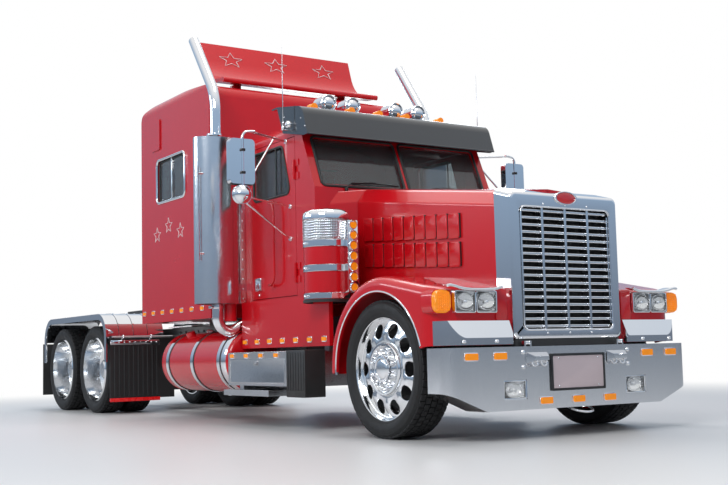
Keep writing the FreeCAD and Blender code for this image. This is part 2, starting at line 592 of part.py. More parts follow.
# Fog lamps: a framed box in each opening of the bumper, its lens set back a little.
fog_sizes = {"fog_depth": 70, "fog_set_back": 6, "fog_rim": 12}
sizes(fog_sizes)
fog_body = box("FogBody", ("bumper_front - fog_depth", "bumper_front - fog_set_back"),
               ("-fog_side - fog_half + play_gap", "-fog_side + fog_half - play_gap"),
               ("fog_low + play_gap", "fog_high - play_gap"))
fog_recess = box("FogRecess", ("bumper_front - fog_set_back * 2", "bumper_front"),
                 ("-fog_side - fog_half + fog_rim", "-fog_side + fog_half - fog_rim"),
                 ("fog_low + fog_rim", "fog_high - fog_rim"))
part("fog_lamps", both("FogLamps", cut("FogLamp", fog_body, fog_recess)), apart=True)

# Tow hooks: on each side of the plate a forged wedge with two shackles hung through it.
hook_sizes = {"hook_side": 400, "hook_half": 100, "hook_height": 590, "hook_thick": 40,
              "shackle_radius": 26, "shackle_bar": 7, "shackle_side": 45,
              "shackle_x": 917}
sizes(hook_sizes)
hook = loft("Hook", "YZ_Plane", [
    ([("-hook_side - hook_half", "hook_height - hook_thick"),
      ("-hook_side + hook_half", "hook_height - hook_thick"),
      ("-hook_side + hook_half", "hook_height + hook_thick"),
      ("-hook_side - hook_half", "hook_height + hook_thick")],
     "bumper_front"),
    ([("-hook_side - hook_half * 2 / 3", "hook_height - hook_thick / 2"),
      ("-hook_side + hook_half * 2 / 3", "hook_height - hook_thick / 2"),
      ("-hook_side + hook_half * 2 / 3", "hook_height + hook_thick / 4"),
      ("-hook_side - hook_half * 2 / 3", "hook_height + hook_thick / 4")], "nose_reach")])
shackles = []
for index, side in enumerate(("-hook_side - shackle_side", "-hook_side + shackle_side")):
    shackle = bind(doc.addObject("Part::Torus", f"Shackle{index}"), Radius1="shackle_radius",
                   Radius2="shackle_bar")
    shackle.Placement.Rotation = FreeCAD.Rotation(FreeCAD.Vector(0, 1, 0), 90)
    shackles.append(place(shackle, "shackle_x", side, "hook_height - hook_thick / 2 - shackle_radius / 2"))
part("tow_hooks", both("Hooks", fuse("HookSet", hook, *shackles)), apart=True)

# The hood's cross section, which the cowl on the cab takes over: sides up to a crease, a shoulder and a crown.
hood_sizes = {"hood_rear": -1137, "hood_front": 640, "hood_rear_half": 620, "hood_front_half": 550,
              "hood_rear_top": 2135, "hood_front_top": 1892, "hood_low": 1190, "hood_nose_low": 1040,
              "hood_wall": 16, "hood_drop": 150, "hood_crown": 34, "hood_shoulder": 95, "hood_round": 55,
              "hood_crease": 30}
sizes(hood_sizes)


def hood_outline(half, top, inset, low):
    """Half width, top, inset by a wall, and lower edge of one cross section."""
    side, shoulder = f"{half} - {inset}", f"{half} - hood_shoulder - {inset}"
    crease, edge = f"{top} - hood_drop - {inset}", f"{top} - hood_crown - {inset}"
    return [(f"-({side})", low), (side, low), (side, crease, "hood_crease"), (shoulder, edge, "hood_round"),
            ("0", f"{top} - {inset}"), (f"-({shoulder})", edge, "hood_round"),
            (f"-({side})", crease, "hood_crease")]


# Cab: a hollow box with door openings, a sloped screen and a crowned roof.
cab_sizes = {"cab_rear": -3040, "cab_front": -1240, "cab_half": 1000, "cab_floor": 1157, "cab_wall": 60,
             "screen_low": 2115, "screen_top": 2610, "screen_lean": 210, "roof_edge": 2690,
             "roof_crown": 2900, "roof_front_run": 420, "roof_lip": 90, "roof_brow": 150, "cab_round": 60,
             "roof_round": 400, "screen_half": 930, "screen_bar": 35, "door_rear": -2440,
             "door_front": -1580, "door_top": 2612, "door_low": 1180, "walk_half": 350, "walk_top": 2600}
sizes(cab_sizes)


def cab_side(inset):
    """Side view of the cab, inset by a wall."""
    return [(f"cab_rear + {inset}", f"cab_floor + {inset}"), (f"cab_front - {inset}", f"cab_floor + {inset}"),
            (f"cab_front - {inset}", "screen_low"), (f"cab_front - screen_lean - {inset}", "screen_top"),
            (f"cab_front - screen_lean - roof_lip - {inset}", f"screen_top + roof_brow - {inset}"),
            (f"cab_front - screen_lean - roof_front_run - {inset}", f"roof_crown - {inset}"),
            (f"cab_rear + {inset}", f"roof_crown - {inset}")]


def cab_face(inset):
    """Front view of the cab, inset by a wall, with its rounded roof edges."""
    return [(f"-cab_half + {inset}", f"cab_floor + {inset}"), (f"cab_half - {inset}", f"cab_floor + {inset}"),
            (f"cab_half - {inset}", f"roof_edge - {inset} / 2", "cab_round"),
            (f"cab_half - roof_front_run", f"roof_crown - {inset}", "roof_round"),
            (f"-cab_half + roof_front_run", f"roof_crown - {inset}", "roof_round"),
            (f"-cab_half + {inset}", f"roof_edge - {inset} / 2", "cab_round")]


def cab_block(name, inset):
    long = pad(name + "Side", "XZ_Plane", cab_side(inset), "-cab_half", "cab_half * 2")
    across = front_pad(name + "Face", cab_face(inset), "cab_rear", "cab_front + over_run")
    made = doc.addObject("Part::Common", name)
    made.Base, made.Tool = long, across
    return made


door_hole = box("DoorHole", ("door_rear - hinge_gap", "door_front + hinge_gap"),
                ("-cab_half - over_run", "-cab_half + cab_wall + over_run"),
                ("door_low - hinge_gap", "door_top + hinge_gap"))


def screen_outline(inset):
    """Right half of the screen opening in front view, inset by a gap."""
    return [(f"-screen_half + {inset}", f"screen_low + cab_wall / 2 + {inset}"),
            (f"-screen_bar / 2 - {inset}", f"screen_low + cab_wall / 2 + {inset}"),
            (f"-screen_bar / 2 - {inset}", f"screen_top - cab_wall / 2 - {inset}"),
            (f"-screen_half + cab_wall / 2 + {inset}", f"screen_top - cab_wall / 2 - {inset}")]


screen_hole = front_pad("ScreenHole", screen_outline("0"), "cab_front - screen_lean * 2",
                        "cab_front + over_run")
walk_hole = box("WalkHole", ("cab_rear - over_run", "cab_rear + cab_wall + over_run"),
                ("-walk_half", "walk_half"),
                ("cab_floor + cab_wall", "walk_top"))
hinge_sizes = {"hinge_out": 14, "hinge_pin": 8, "hinge_barrel": 14, "hinge_low_z": 1350,
               "hinge_high_z": 2280, "hinge_height": 60, "hinge_leaf": 70, "hinge_leaf_thick": 8}
sizes(hinge_sizes)
hinge_x, hinge_y = "door_front + hinge_gap / 2", "-cab_half - hinge_out"
cab_hinges, door_hinges, hinge_bores = [], [], []
for index, low in enumerate(("hinge_low_z", "hinge_high_z")):
    cab_hinges += [rod(f"HingePin{index}", "z", (hinge_x, hinge_y, f"{low} - hinge_height"), "hinge_pin",
                       "hinge_height * 3")]
    for end, base in (("Low", f"{low} - hinge_height"), ("High", f"{low} + hinge_height")):
        cab_hinges += [rod(f"HingeEnd{end}{index}", "z", (hinge_x, hinge_y, base), "hinge_barrel",
                           "hinge_height"),
                       box(f"HingeCabLeaf{end}{index}", (hinge_x, f"{hinge_x} + hinge_leaf"),
                           ("-cab_half - hinge_leaf_thick", "-cab_half"), (base, f"{base} + hinge_height"))]
    door_hinges += [rod(f"HingeBarrel{index}", "z", (hinge_x, hinge_y, f"{low} + play_gap"), "hinge_barrel",
                        "hinge_height - play_gap * 2"),
                    box(f"HingeDoorLeaf{index}", (f"{hinge_x} - hinge_leaf", hinge_x),
                        ("-cab_half - hinge_leaf_thick", "-cab_half"),
                        (f"{low} + play_gap", f"{low} + hinge_height - play_gap"))]
    hinge_bores.append(rod(f"HingeBore{index}", "z", (hinge_x, hinge_y, f"{low} - over_run"),
                           "hinge_pin + play_gap",
                           "hinge_height + over_run * 2"))
cab_shell = cut("CabCut", cab_block("CabOuter", "0"), cab_block("CabInner", "cab_wall"), door_hole,
                mirror("DoorHoleLeft", door_hole), screen_hole, mirror("ScreenHoleLeft", screen_hole),
                walk_hole)
cowl_sizes = {"cowl_half": 900, "cowl_top": 2112, "cowl_gap": 6}
sizes(cowl_sizes)
cowl = loft("Cowl", "YZ_Plane", [(hood_outline("hood_rear_half", "hood_rear_top", "0", "hood_low"),
                                  "hood_rear - cowl_gap"),
                                 (hood_outline("cowl_half", "cowl_top", "0", "hood_low"),
                                  "cab_front - over_run")])
part("cab", cab_shell, cowl, *cab_hinges, *[mirror(f"CabHingeLeft{index}", thing) for index,
                                            thing in enumerate(cab_hinges)])

# Windscreen: two panes that lie in the opening on each side of the centre bar.
pane_sizes = {"pane_thick": 8, "pane_inset": 20}
sizes(pane_sizes)
pane_sheet = side_pad("PaneSheet", [("cab_front - pane_inset", "screen_low"),
                                    ("cab_front - pane_inset - pane_thick", "screen_low"),
                                    ("cab_front - screen_lean - pane_inset - pane_thick", "screen_top"),
                                    ("cab_front - screen_lean - pane_inset", "screen_top")], "0", "cab_half")
pane = doc.addObject("Part::Common", "Pane")
pane.Base = pane_sheet
pane.Tool = front_pad("PaneOutline", screen_outline("play_gap"), "cab_front - screen_lean * 2",
                      "cab_front + over_run")
part("windshield", both("Panes", pane), apart=True)

# Doors: the whole thickness of the side, with the window cut out and its glass.
window_sizes = {"window_low": 2100, "window_top": 2572, "window_rear": -2385, "window_front": -1660,
                "window_lean": 150, "window_round": 60, "glass_thick": 8}
sizes(window_sizes)


def door_outline(inset):
    return [(f"door_rear + {inset}", f"door_low + {inset}"), (f"door_front - {inset}", f"door_low + {inset}"),
            (f"door_front - {inset}", f"door_top - {inset}"), (f"door_rear + {inset}", f"door_top - {inset}")]


def window_outline(inset):
    return [(f"window_rear + {inset}", f"window_low + {inset}", "window_round"),
            (f"window_front - {inset}", f"window_low + {inset}", "window_round"),
            (f"window_front - window_lean - {inset}", f"window_top - {inset}", "window_round"),
            (f"window_rear + {inset}", f"window_top - {inset}", "window_round")]


door = cut("Door", side_pad("DoorSlab", door_outline("0"), "cab_half - cab_wall", "cab_half"),
           side_pad("WindowHole", window_outline("0"), "cab_half - cab_wall - over_run",
                    "cab_half + over_run"))
glass = side_pad("DoorGlass", window_outline("play_gap"), "cab_half - cab_wall / 2 - glass_thick / 2",
                 "cab_half - cab_wall / 2 + glass_thick / 2")
door = cut("DoorHung", fuse("DoorHinged", door, *door_hinges), *hinge_bores)
part("door_right", door)
part("door_left", mirror("DoorLeft", door))
part("door_glass_right", glass)
part("door_glass_left", mirror("GlassLeft", glass))

# Mirrors: a tall rounded box and a round mirror on a pole, held off the door by tube arms.
mirror_sizes = {"mirror_x": -1530, "mirror_side": 1550, "pole_radius": 12, "pole_low": 1984,
                "pole_top": 2600, "pole_bend": 60, "mirror_low": 2140, "mirror_high": 2540,
                "mirror_width": 240, "mirror_depth": 70, "mirror_round": 35, "spot_radius": 85,
                "spot_z": 2050, "spot_depth": 45, "arm_radius": 9, "arm_pad": 14, "arm_pad_radius": 18,
                "arm_top_x": -1720, "arm_top_z": 2588, "arm_mid_x": -1654, "arm_mid_z": 1984,
                "arm_low_x": -1660, "arm_low_z": 1692, "brace_side": 1130, "brace_z": 2615}
sizes(mirror_sizes)


def strut(name, start, end, radius):
    """A round bar between two points."""
    first = FreeCAD.Vector(*(size(value) for value in start))
    last = FreeCAD.Vector(*(size(value) for value in end))
    made = doc.addObject("Part::Feature", name)
    made.Shape = Part.makeCylinder(size(radius), first.distanceToPoint(last), first, last - first)
    return made


mirror_case = front_pad("MirrorCase", [(f"-mirror_side {y} mirror_width / 2", z, "mirror_round")
                                       for y, z in (("-", "mirror_low"), ("+", "mirror_low"),
                                                    ("+", "mirror_high"),
                                                    ("-", "mirror_high"))],
                        "mirror_x - mirror_depth", "mirror_x")
mirror_pole = tube_path("MirrorPole", "YZ", [("-mirror_side", "pole_low"),
                                             ("-mirror_side", "pole_top", "pole_bend"),
                                             ("-mirror_side + pole_bend * 2", "pole_top + pole_radius")],
                        "mirror_x", "pole_radius")
mirror_set = fuse(
    "MirrorSet", mirror_case, mirror_pole,
    rod("SpotMirror", "x", ("mirror_x - spot_depth", "-mirror_side", "spot_z"), "spot_radius", "spot_depth"),
    strut("ArmTop", ("mirror_x", "-mirror_side + pole_bend * 3 / 2", "pole_top + pole_radius / 2"),
          ("arm_top_x", "-cab_half - arm_pad", "arm_top_z"), "arm_radius"),
    strut("ArmMid", ("mirror_x", "-mirror_side", "pole_low + pole_radius * 4"),
          ("arm_mid_x", "-cab_half - arm_pad", "arm_mid_z"), "arm_radius"),
    strut("ArmLow", ("mirror_x", "-mirror_side", "pole_low + pole_radius"),
          ("arm_low_x", "-cab_half - arm_pad", "arm_low_z"), "arm_radius"),
    strut("ArmBrace", ("mirror_x", "-mirror_side", "pole_low + pole_radius * 7"),
          ("arm_top_x", "-brace_side", "brace_z"), "arm_radius"),
    *[rod(f"ArmPad{index}", "y", (x, "-cab_half - arm_pad - arm_radius", z), "arm_pad_radius",
          "arm_pad + arm_radius - play_gap")
      for index, (x, z) in enumerate((("arm_top_x", "arm_top_z"), ("arm_mid_x", "arm_mid_z"),
                                      ("arm_low_x", "arm_low_z")))])
part("mirror_right", mirror_set)
part("mirror_left", mirror("MirrorLeft", mirror_set))

# Visor: a bulging sheet over the windscreen, closed at each end.
visor_sizes = {"visor_half": 1057, "visor_front": -1250, "visor_low": 2580, "visor_rear": -1890,
               "visor_flat": -1790, "visor_thick": 16, "visor_bend": -1340, "visor_bend_z": 2845,
               "visor_round": 120, "visor_end_rear": -1690, "visor_end_low": 2655, "visor_end_thick": 10}
sizes(visor_sizes)
visor_top = "roof_crown + play_gap"
visor_sheet = side_pad("VisorSheet", [
    ("visor_front", "visor_low"), ("visor_front - visor_thick", "visor_low"),
    ("visor_bend - visor_thick", "visor_bend_z - visor_thick", "visor_round - visor_thick"),
    ("visor_flat", visor_top, "visor_round - visor_thick"), ("visor_rear", visor_top),
    ("visor_rear", f"{visor_top} + visor_thick"), ("visor_flat", f"{visor_top} + visor_thick", "visor_round"),
    ("visor_bend", "visor_bend_z", "visor_round")], "-visor_half", "visor_half")
visor_end = side_pad("VisorEnd", [
    ("visor_front", "visor_low"), ("visor_front - visor_thick * 4", "visor_low - visor_thick / 4"),
    ("visor_end_rear", "visor_end_low"), ("visor_flat", visor_top),
                                  ("visor_flat", f"{visor_top} + visor_thick"),
    ("visor_bend", "visor_bend_z", "visor_round")], "visor_half - visor_end_thick", "visor_half")
visor_solid = fuse("VisorSolid", visor_sheet, visor_end, mirror("VisorEndLeft", visor_end))
part("visor", visor_solid)

# Lower cab skirts below the doors.
skirt_sizes = {"skirt_rear": -2570, "skirt_front": -960, "skirt_low": 720, "skirt_nose_top": 1095,
               "skirt_side": 1050, "skirt_thick": 40}
sizes(skirt_sizes)
skirt = side_pad("Skirt", [("skirt_rear", "skirt_low"), ("skirt_front", "skirt_low"),
                           ("skirt_front", "skirt_nose_top"),
                           ("cab_front", "skirt_nose_top"), ("cab_front", "cab_floor"),
                           ("skirt_rear", "cab_floor")], "skirt_side - skirt_thick", "skirt_side")
part("cab_skirts", both("Skirts", fuse("SkirtSet", skirt,
     box("SkirtLedge", ("skirt_rear", "cab_front"), ("-skirt_side", "-cab_half + skirt_thick"),
         ("cab_floor - skirt_thick", "cab_floor")))), apart=True)

# Sleeper: a tall hollow box with rounded edges and a window on each side.
sleeper_sizes = {"sleeper_rear": -4830, "sleeper_half": 1152, "sleeper_low": 1033, "sleeper_top": 3490,
                 "sleeper_front_top": 3400, "sleeper_wall": 50, "sleeper_round": 120,
                 "sleeper_peak_rear": -4450, "sleeper_peak_front": -3950, "berth_window_rear": -4367,
                 "berth_window_front": -3628, "berth_window_low": 2333, "berth_window_top": 2808,
                 "berth_window_round": 60}
sizes(sleeper_sizes)


def sleeper_side(inset):
    return [(f"sleeper_rear + {inset}", f"sleeper_low + {inset}"),
            (f"cab_rear - {inset}", f"sleeper_low + {inset}"),
            (f"cab_rear - {inset}", f"sleeper_front_top - {inset}", "sleeper_round"),
            ("sleeper_peak_front", f"sleeper_top - {inset}"), ("sleeper_peak_rear", f"sleeper_top - {inset}"),
            (f"sleeper_rear + {inset}", f"sleeper_front_top - {inset}", "sleeper_round")]


def sleeper_face(inset):
    return [(f"-sleeper_half + {inset}", f"sleeper_low + {inset}"),
            (f"sleeper_half - {inset}", f"sleeper_low + {inset}"),
            (f"sleeper_half - {inset}", f"sleeper_top - {inset}", "sleeper_round"),
            (f"-sleeper_half + {inset}", f"sleeper_top - {inset}", "sleeper_round")]


def sleeper_block(name, inset):
    long = pad(name + "Side", "XZ_Plane", sleeper_side(inset), "-sleeper_half", "sleeper_half * 2")
    across = front_pad(name + "Face", sleeper_face(inset), "sleeper_rear - over_run", "cab_rear + over_run")
    made = doc.addObject("Part::Common", name)
    made.Base, made.Tool = long, across
    return made


berth_outline = [("berth_window_rear", "berth_window_low", "berth_window_round"),
                 ("berth_window_front", "berth_window_low", "berth_window_round"),
                 ("berth_window_front", "berth_window_top", "berth_window_round"),
                 ("berth_window_rear", "berth_window_top", "berth_window_round")]
berth_hole = side_pad("BerthHole", berth_outline, "-sleeper_half - over_run", "sleeper_half + over_run")
sleeper_walk = box("SleeperWalk", ("cab_rear - sleeper_wall - over_run", "cab_rear + over_run"),
                   ("-walk_half", "walk_half"), ("cab_floor + cab_wall", "walk_top"))
vent_sizes = {"vent_rear": -4502, "vent_front": -4281, "vent_low": 2928, "vent_high": 3271,
              "vent_round": 25, "vent_rise": 14}
sizes(vent_sizes)
vent = side_pad("Vent", [(x, z, "vent_round") for x, z in (("vent_rear", "vent_low"),
                                                           ("vent_front", "vent_low"),
                                                           ("vent_front", "vent_high"),
                                                           ("vent_rear", "vent_high"))],
                "sleeper_half - vent_rise", "sleeper_half + vent_rise")
part("sleeper", cut("SleeperCut", sleeper_block("SleeperOuter", "0"),
                    sleeper_block("SleeperInner", "sleeper_wall"),
                    berth_hole, sleeper_walk), vent, mirror("VentLeft", vent))
berth_glass = side_pad("BerthGlass", berth_outline, "sleeper_half - sleeper_wall / 2 - glass_thick / 2",
                       "sleeper_half - sleeper_wall / 2 + glass_thick / 2")
part("sleeper_windows", both("BerthGlasses", berth_glass), apart=True)

# Cab mounts: pads between the rails and the cab and sleeper floors.
mount_sizes = {"pad_half": 60, "pad_length": 160, "pad_front": -1500, "pad_rear": -2700,
               "berth_pad_front": -3300, "berth_pad_rear": -4600}
sizes(mount_sizes)
pads = []
for index, (spot, top) in enumerate((("pad_front", "cab_floor"), ("pad_rear", "cab_floor"),
                                     ("berth_pad_front", "sleeper_low"), ("berth_pad_rear", "sleeper_low"))):
    pads.append(box(f"CabPad{index}", (spot, f"{spot} + pad_length"),
                    ("-rail_side", "-rail_side + pad_half * 2"),
                    ("rail_top", top)))
part("cab_mounts", both("CabPads", group("CabPadSet", *pads)), apart=True)

# Seats and dashboard with the steering wheel, seen through the glass.
seat_sizes = {"seat_x": -2350, "seat_side": 480, "seat_half": 250, "seat_length": 500, "seat_high": 1650,
              "seat_back": 130, "seat_back_top": 2400, "seat_base_half": 180,
              "dash_depth": 380, "dash_low": 1650, "dash_top": 2050, "dash_half": 930}
sizes(seat_sizes)
seat = fuse("Seat",
            box("SeatBase", ("seat_x + seat_back", "seat_x + seat_length - seat_back"),
                ("-seat_side - seat_base_half", "-seat_side + seat_base_half"),
                ("cab_floor + cab_wall", "seat_high - seat_back")),
            box("SeatCushion", ("seat_x", "seat_x + seat_length"),
                ("-seat_side - seat_half", "-seat_side + seat_half"),
                ("seat_high - seat_back", "seat_high")),
            box("SeatBack", ("seat_x - seat_back", "seat_x"),
                ("-seat_side - seat_half", "-seat_side + seat_half"),
                ("seat_high - seat_back", "seat_back_top")))
part("seats", both("Seats", seat), apart=True)
dash_sizes = {"steer_ring_lean": -55, "steer_ring_radius": 230, "steer_ring_bar": 16, "steer_ring_x": -1790,
              "steer_ring_z": 2010,
              "steer_column_radius": 35}
sizes(dash_sizes)
dash = side_pad("Dash", [("cab_front - cab_wall", "dash_low"),
                         ("cab_front - cab_wall - dash_depth", "dash_low"),
                         ("cab_front - cab_wall - dash_depth", "dash_top - cab_wall"),
                         ("cab_front - cab_wall - dash_depth / 2", "dash_top"),
                         ("cab_front - cab_wall", "dash_top")], "-dash_half", "dash_half")
ring = doc.addObject("Part::Torus", "SteerRing")
bind(ring, Radius1="steer_ring_radius", Radius2="steer_ring_bar")
ring.Placement.Rotation = FreeCAD.Rotation(FreeCAD.Vector(0, 1, 0), size("steer_ring_lean"))
place(ring, "steer_ring_x", "seat_side", "steer_ring_z")
part("dashboard", dash, ring,
     strut("SteerColumn", ("steer_ring_x", "seat_side", "steer_ring_z"),
           ("cab_front - cab_wall - dash_depth / 2", "seat_side", "dash_low + cab_wall"),
           "steer_column_radius"),
     strut("SteerSpoke", ("steer_ring_x", "seat_side - steer_ring_radius", "steer_ring_z"),
           ("steer_ring_x", "seat_side + steer_ring_radius", "steer_ring_z"), "steer_ring_bar"))

# Roof fittings: round lamps and horns on stalks, two whip aerials.
roof_lamp_sizes = {"roof_lamp_radius": 80, "roof_lamp_x": -1915, "roof_lamp_z": 3005,
                   "roof_lamp_side": 250, "roof_lamp_outer_side": 519, "roof_lamp_length": 150,
                   "stalk_radius": 18}
sizes(roof_lamp_sizes)
lamps = []
for index, spot in enumerate(("roof_lamp_side", "roof_lamp_outer_side")):
    lamps.append(fuse(f"RoofLamp{index}",
                      rod(f"RoofLampCan{index}", "x", ("roof_lamp_x", f"-{spot}", "roof_lamp_z"),
                          "roof_lamp_radius",
                          "roof_lamp_length"),
                      rod(f"RoofStalk{index}", "z", ("roof_lamp_x + roof_lamp_length / 2", f"-{spot}",
                          "roof_crown + visor_thick + play_gap * 2"), "stalk_radius",
                          "roof_lamp_z - roof_crown - visor_thick - play_gap * 2")))
part("roof_lamps", both("RoofLamps", group("RoofLampSet", *lamps)), apart=True)

# Exhaust: a vertical stack beside the cab's rear, its tip bent back, with an elbow to the frame.
stack_sizes = {"stack_x": -2645, "stack_side": 1270, "stack_radius": 52, "stack_bend_z": 3190,
               "stack_bend": 500, "stack_tip_x": -3130, "stack_tip_z": 3850, "elbow_bend": 130,
               "elbow_z": 890, "elbow_side": 1150, "elbow_rise_side": 960, "elbow_rise_z": 965}
sizes(stack_sizes)
stack_top = tube_path("StackTop", "XZ", [("stack_x", "sleeper_low"),
                                         ("stack_x", "stack_bend_z", "stack_bend"),
                                         ("stack_tip_x", "stack_tip_z")], "-stack_side", "stack_radius")
stack_low = tube_path("StackLow", "YZ", [("-stack_side", "sleeper_low + over_run"),
                                         ("-stack_side", "elbow_z", "elbow_bend"),
                                         ("-elbow_side + over_run", "elbow_z", "elbow_bend"),
                                         ("-elbow_rise_side", "elbow_rise_z", "elbow_bend"),
                                         ("-rail_side", "elbow_rise_z")], "stack_x", "stack_radius")
exhaust = fuse("Exhaust", stack_top, stack_low)
part("exhaust_stacks", both("Exhausts", exhaust), apart=True)

# Exhaust shields: oval shells round the stack, open towards the cab.
shield_sizes = {"shield_half_x": 150, "shield_half_y": 230, "shield_low": 1150, "shield_top": 2750,
                "shield_wall": 12, "shield_open": 120}
sizes(shield_sizes)


def oval(name, grow, low, high):
    made = doc.addObject("Part::Feature", name)
    curve = Part.Ellipse(FreeCAD.Vector(0, 0, 0), size(f"shield_half_y + {grow}"),
                         size(f"shield_half_x + {grow}"))
    face = Part.Face(Part.Wire([curve.toShape()]))
    face.rotate(FreeCAD.Vector(), FreeCAD.Vector(0, 0, 1), 90)
    face.translate(FreeCAD.Vector(size("stack_x"), -size("stack_side"), size(low)))
    made.Shape = face.extrude(FreeCAD.Vector(0, 0, size(f"({high}) - ({low})")))
    return made


shield = cut("Shield", oval("ShieldOuter", "0", "shield_low", "shield_top"),
             oval("ShieldInner", "-shield_wall", "shield_low - over_run", "shield_top + over_run"),
             box("ShieldOpen", ("stack_x - shield_open / 2", "stack_x + shield_open / 2"),
                 ("-stack_side", "-stack_side + shield_half_y + over_run"),
                 ("shield_low - over_run", "shield_top + over_run")))
shield_arms = [box(f"ShieldArm{index}", ("stack_x - stalk_radius", "stack_x + stalk_radius"),
                   ("-stack_side - shield_half_y + shield_wall / 2", "-stack_side - stack_radius - play_gap"),
                   (spot, f"{spot} + stalk_radius * 2"))
               for index, spot in enumerate(("shield_low + shield_open", "shield_top - shield_open"))]
shield_foot = [box(f"ShieldFoot{index}", ("stack_x + shield_half_x / 2",
                                          "stack_x + shield_half_x / 2 + shield_wall"),
                   ("-stack_side + shield_half_y / 2", "-cab_half"), (spot, f"{spot} + stalk_radius * 4"))
               for index, spot in enumerate(("shield_low + shield_open", "shield_top - shield_open * 2"))]
grab_sizes = {"grab_low": 1560, "grab_high": 2450, "grab_radius": 11, "grab_reach": 62, "grab_x": -2560,
              "grab_side": 1500}
sizes(grab_sizes)
grab = [rod("GrabBar", "z", ("grab_x", "-grab_side", "grab_low"), "grab_radius", "grab_high - grab_low")]
for index, spot in enumerate(("grab_low + grab_reach", "grab_high - grab_reach")):
    grab.append(rod(f"GrabFoot{index}", "y", ("grab_x", "-grab_side", spot), "grab_radius", "grab_reach"))
part("exhaust_shields", both("Shields", fuse("ShieldSet", shield, *shield_arms, *shield_foot, *grab)),
     apart=True)

# Air cleaners: banded canisters beside the cowl, on brackets, each with an upright lamp bar.
cleaner_sizes = {"cleaner_x": -1030, "cleaner_side": 1020, "cleaner_radius": 195, "cleaner_low": 1110,
                 "cleaner_top": 1870, "cleaner_dome": 60, "cleaner_band": 6, "cleaner_neck": 70,
                 "cleaner_foot_band": 50, "band_low": 1344, "band_high": 1398, "band_top_low": 1553,
                 "band_top_high": 1607, "screen_end": 1787, "bar_rear_x": -875, "bar_front_x": -788,
                 "bar_near": 860, "bar_far": 955, "bar_low": 1165, "bar_high": 1765}
sizes(cleaner_sizes)
band_radius = "cleaner_radius + cleaner_band"
cleaner = place(turn("Cleaner", "XZ_Plane", [
    ("0", "skirt_nose_top + play_gap"), ("cleaner_neck", "skirt_nose_top + play_gap"),
                                             ("cleaner_neck", "cleaner_low"),
    (band_radius, "cleaner_low"), (band_radius, "cleaner_low + cleaner_foot_band"),
    ("cleaner_radius", "cleaner_low + cleaner_foot_band"), ("cleaner_radius", "band_low"),
                                             (band_radius, "band_low"),
    (band_radius, "band_high"), ("cleaner_radius", "band_high"), ("cleaner_radius", "band_top_low"),
    (band_radius, "band_top_low"), (band_radius, "band_top_high"), ("cleaner_radius", "band_top_high"),
    ("cleaner_radius", "screen_end"), (band_radius, "screen_end"),
                                             (band_radius, "cleaner_top", "cleaner_dome"),
    ("0", "cleaner_top")], "V_Axis"), "cleaner_x", "-cleaner_side", "0")
cleaner_feet = [box(f"CleanerFoot{index}", ("cab_front", "cleaner_x"),
                    ("-cab_half + over_run", "-cleaner_side + cleaner_radius / 2"),
                    (spot, f"{spot} + stalk_radius * 2"))
                for index, spot in enumerate(("cleaner_low + cleaner_dome * 2",
                                              "cleaner_top - cleaner_dome * 2"))]
lamp_bar_post = box("LampBarPost", ("bar_rear_x", "bar_front_x"), ("-bar_far", "-bar_near"),
                    ("bar_low", "bar_high"))
part("air_cleaners", both("Cleaners", fuse("CleanerSet", cleaner, lamp_bar_post, *cleaner_feet)), apart=True)

# Fuel tanks along the rails, with straps and brackets.
tank_sizes = {"tank_side": 900, "tank_height": 600, "tank_radius": 300, "tank_rear": -4200,
              "tank_front": -2590, "tank_end": 45, "strap_width": 60, "strap_thick": 8,
              "strap_first_share": 0.12, "strap_second_share": 0.5, "strap_third_share": 0.88}
sizes(tank_sizes)
tank = place(turn("Tank", "XY_Plane", [("tank_rear", "0"), ("tank_rear", "tank_radius", "tank_end"),
                                       ("tank_front", "tank_radius", "tank_end"), ("tank_front", "0")],
                  "H_Axis"),
             "0", "-tank_side", "tank_height")
filler_sizes = {"filler_x": -3820, "filler_radius": 48, "filler_rise": 36, "filler_turn": 22}
sizes(filler_sizes)
filler = doc.addObject("Part::Feature", "Filler")
lean = FreeCAD.Vector(0, -math.sin(math.radians(size("filler_turn"))),
                      math.cos(math.radians(size("filler_turn"))))
filler.Shape = Part.makeCylinder(size("filler_radius"), size("tank_radius + filler_rise"),
                                 FreeCAD.Vector(size("filler_x"), -size("tank_side"), size("tank_height")),
                                 lean)
part("fuel_tanks", both("Tanks", fuse("TankSet", tank, filler)), apart=True)
straps = []
for index, share in enumerate(("strap_first_share", "strap_second_share", "strap_third_share")):
    spot = f"tank_rear + (tank_front - tank_rear) * {share}"
    band = place(turn(f"Band{index}", "XY_Plane", [("-strap_width / 2", "tank_radius + play_gap"),
                                                   ("strap_width / 2", "tank_radius + play_gap"),
                                                   ("strap_width / 2", "tank_radius + strap_thick"),
                                                   ("-strap_width / 2", "tank_radius + strap_thick")],
                      "H_Axis"),
                 spot, "-tank_side", "tank_height")
    arm = box(f"TankArm{index}", (f"{spot} - strap_width / 2", f"{spot} + strap_width / 2"),
              ("-tank_side + tank_radius + strap_thick / 2", "-rail_side"),
              ("tank_height - strap_width / 2", "tank_height + strap_width / 2"))
    plate = box(f"TankPlate{index}", (f"{spot} - strap_width / 2", f"{spot} + strap_width / 2"),
                ("-rail_side - strap_thick * 2", "-rail_side"),
                ("tank_height - strap_width", "rail_top - strap_width"))
    straps.append(fuse(f"Strap{index}", band, arm, plate))
part("tank_straps", both("Straps", group("StrapSet", *straps)), apart=True)

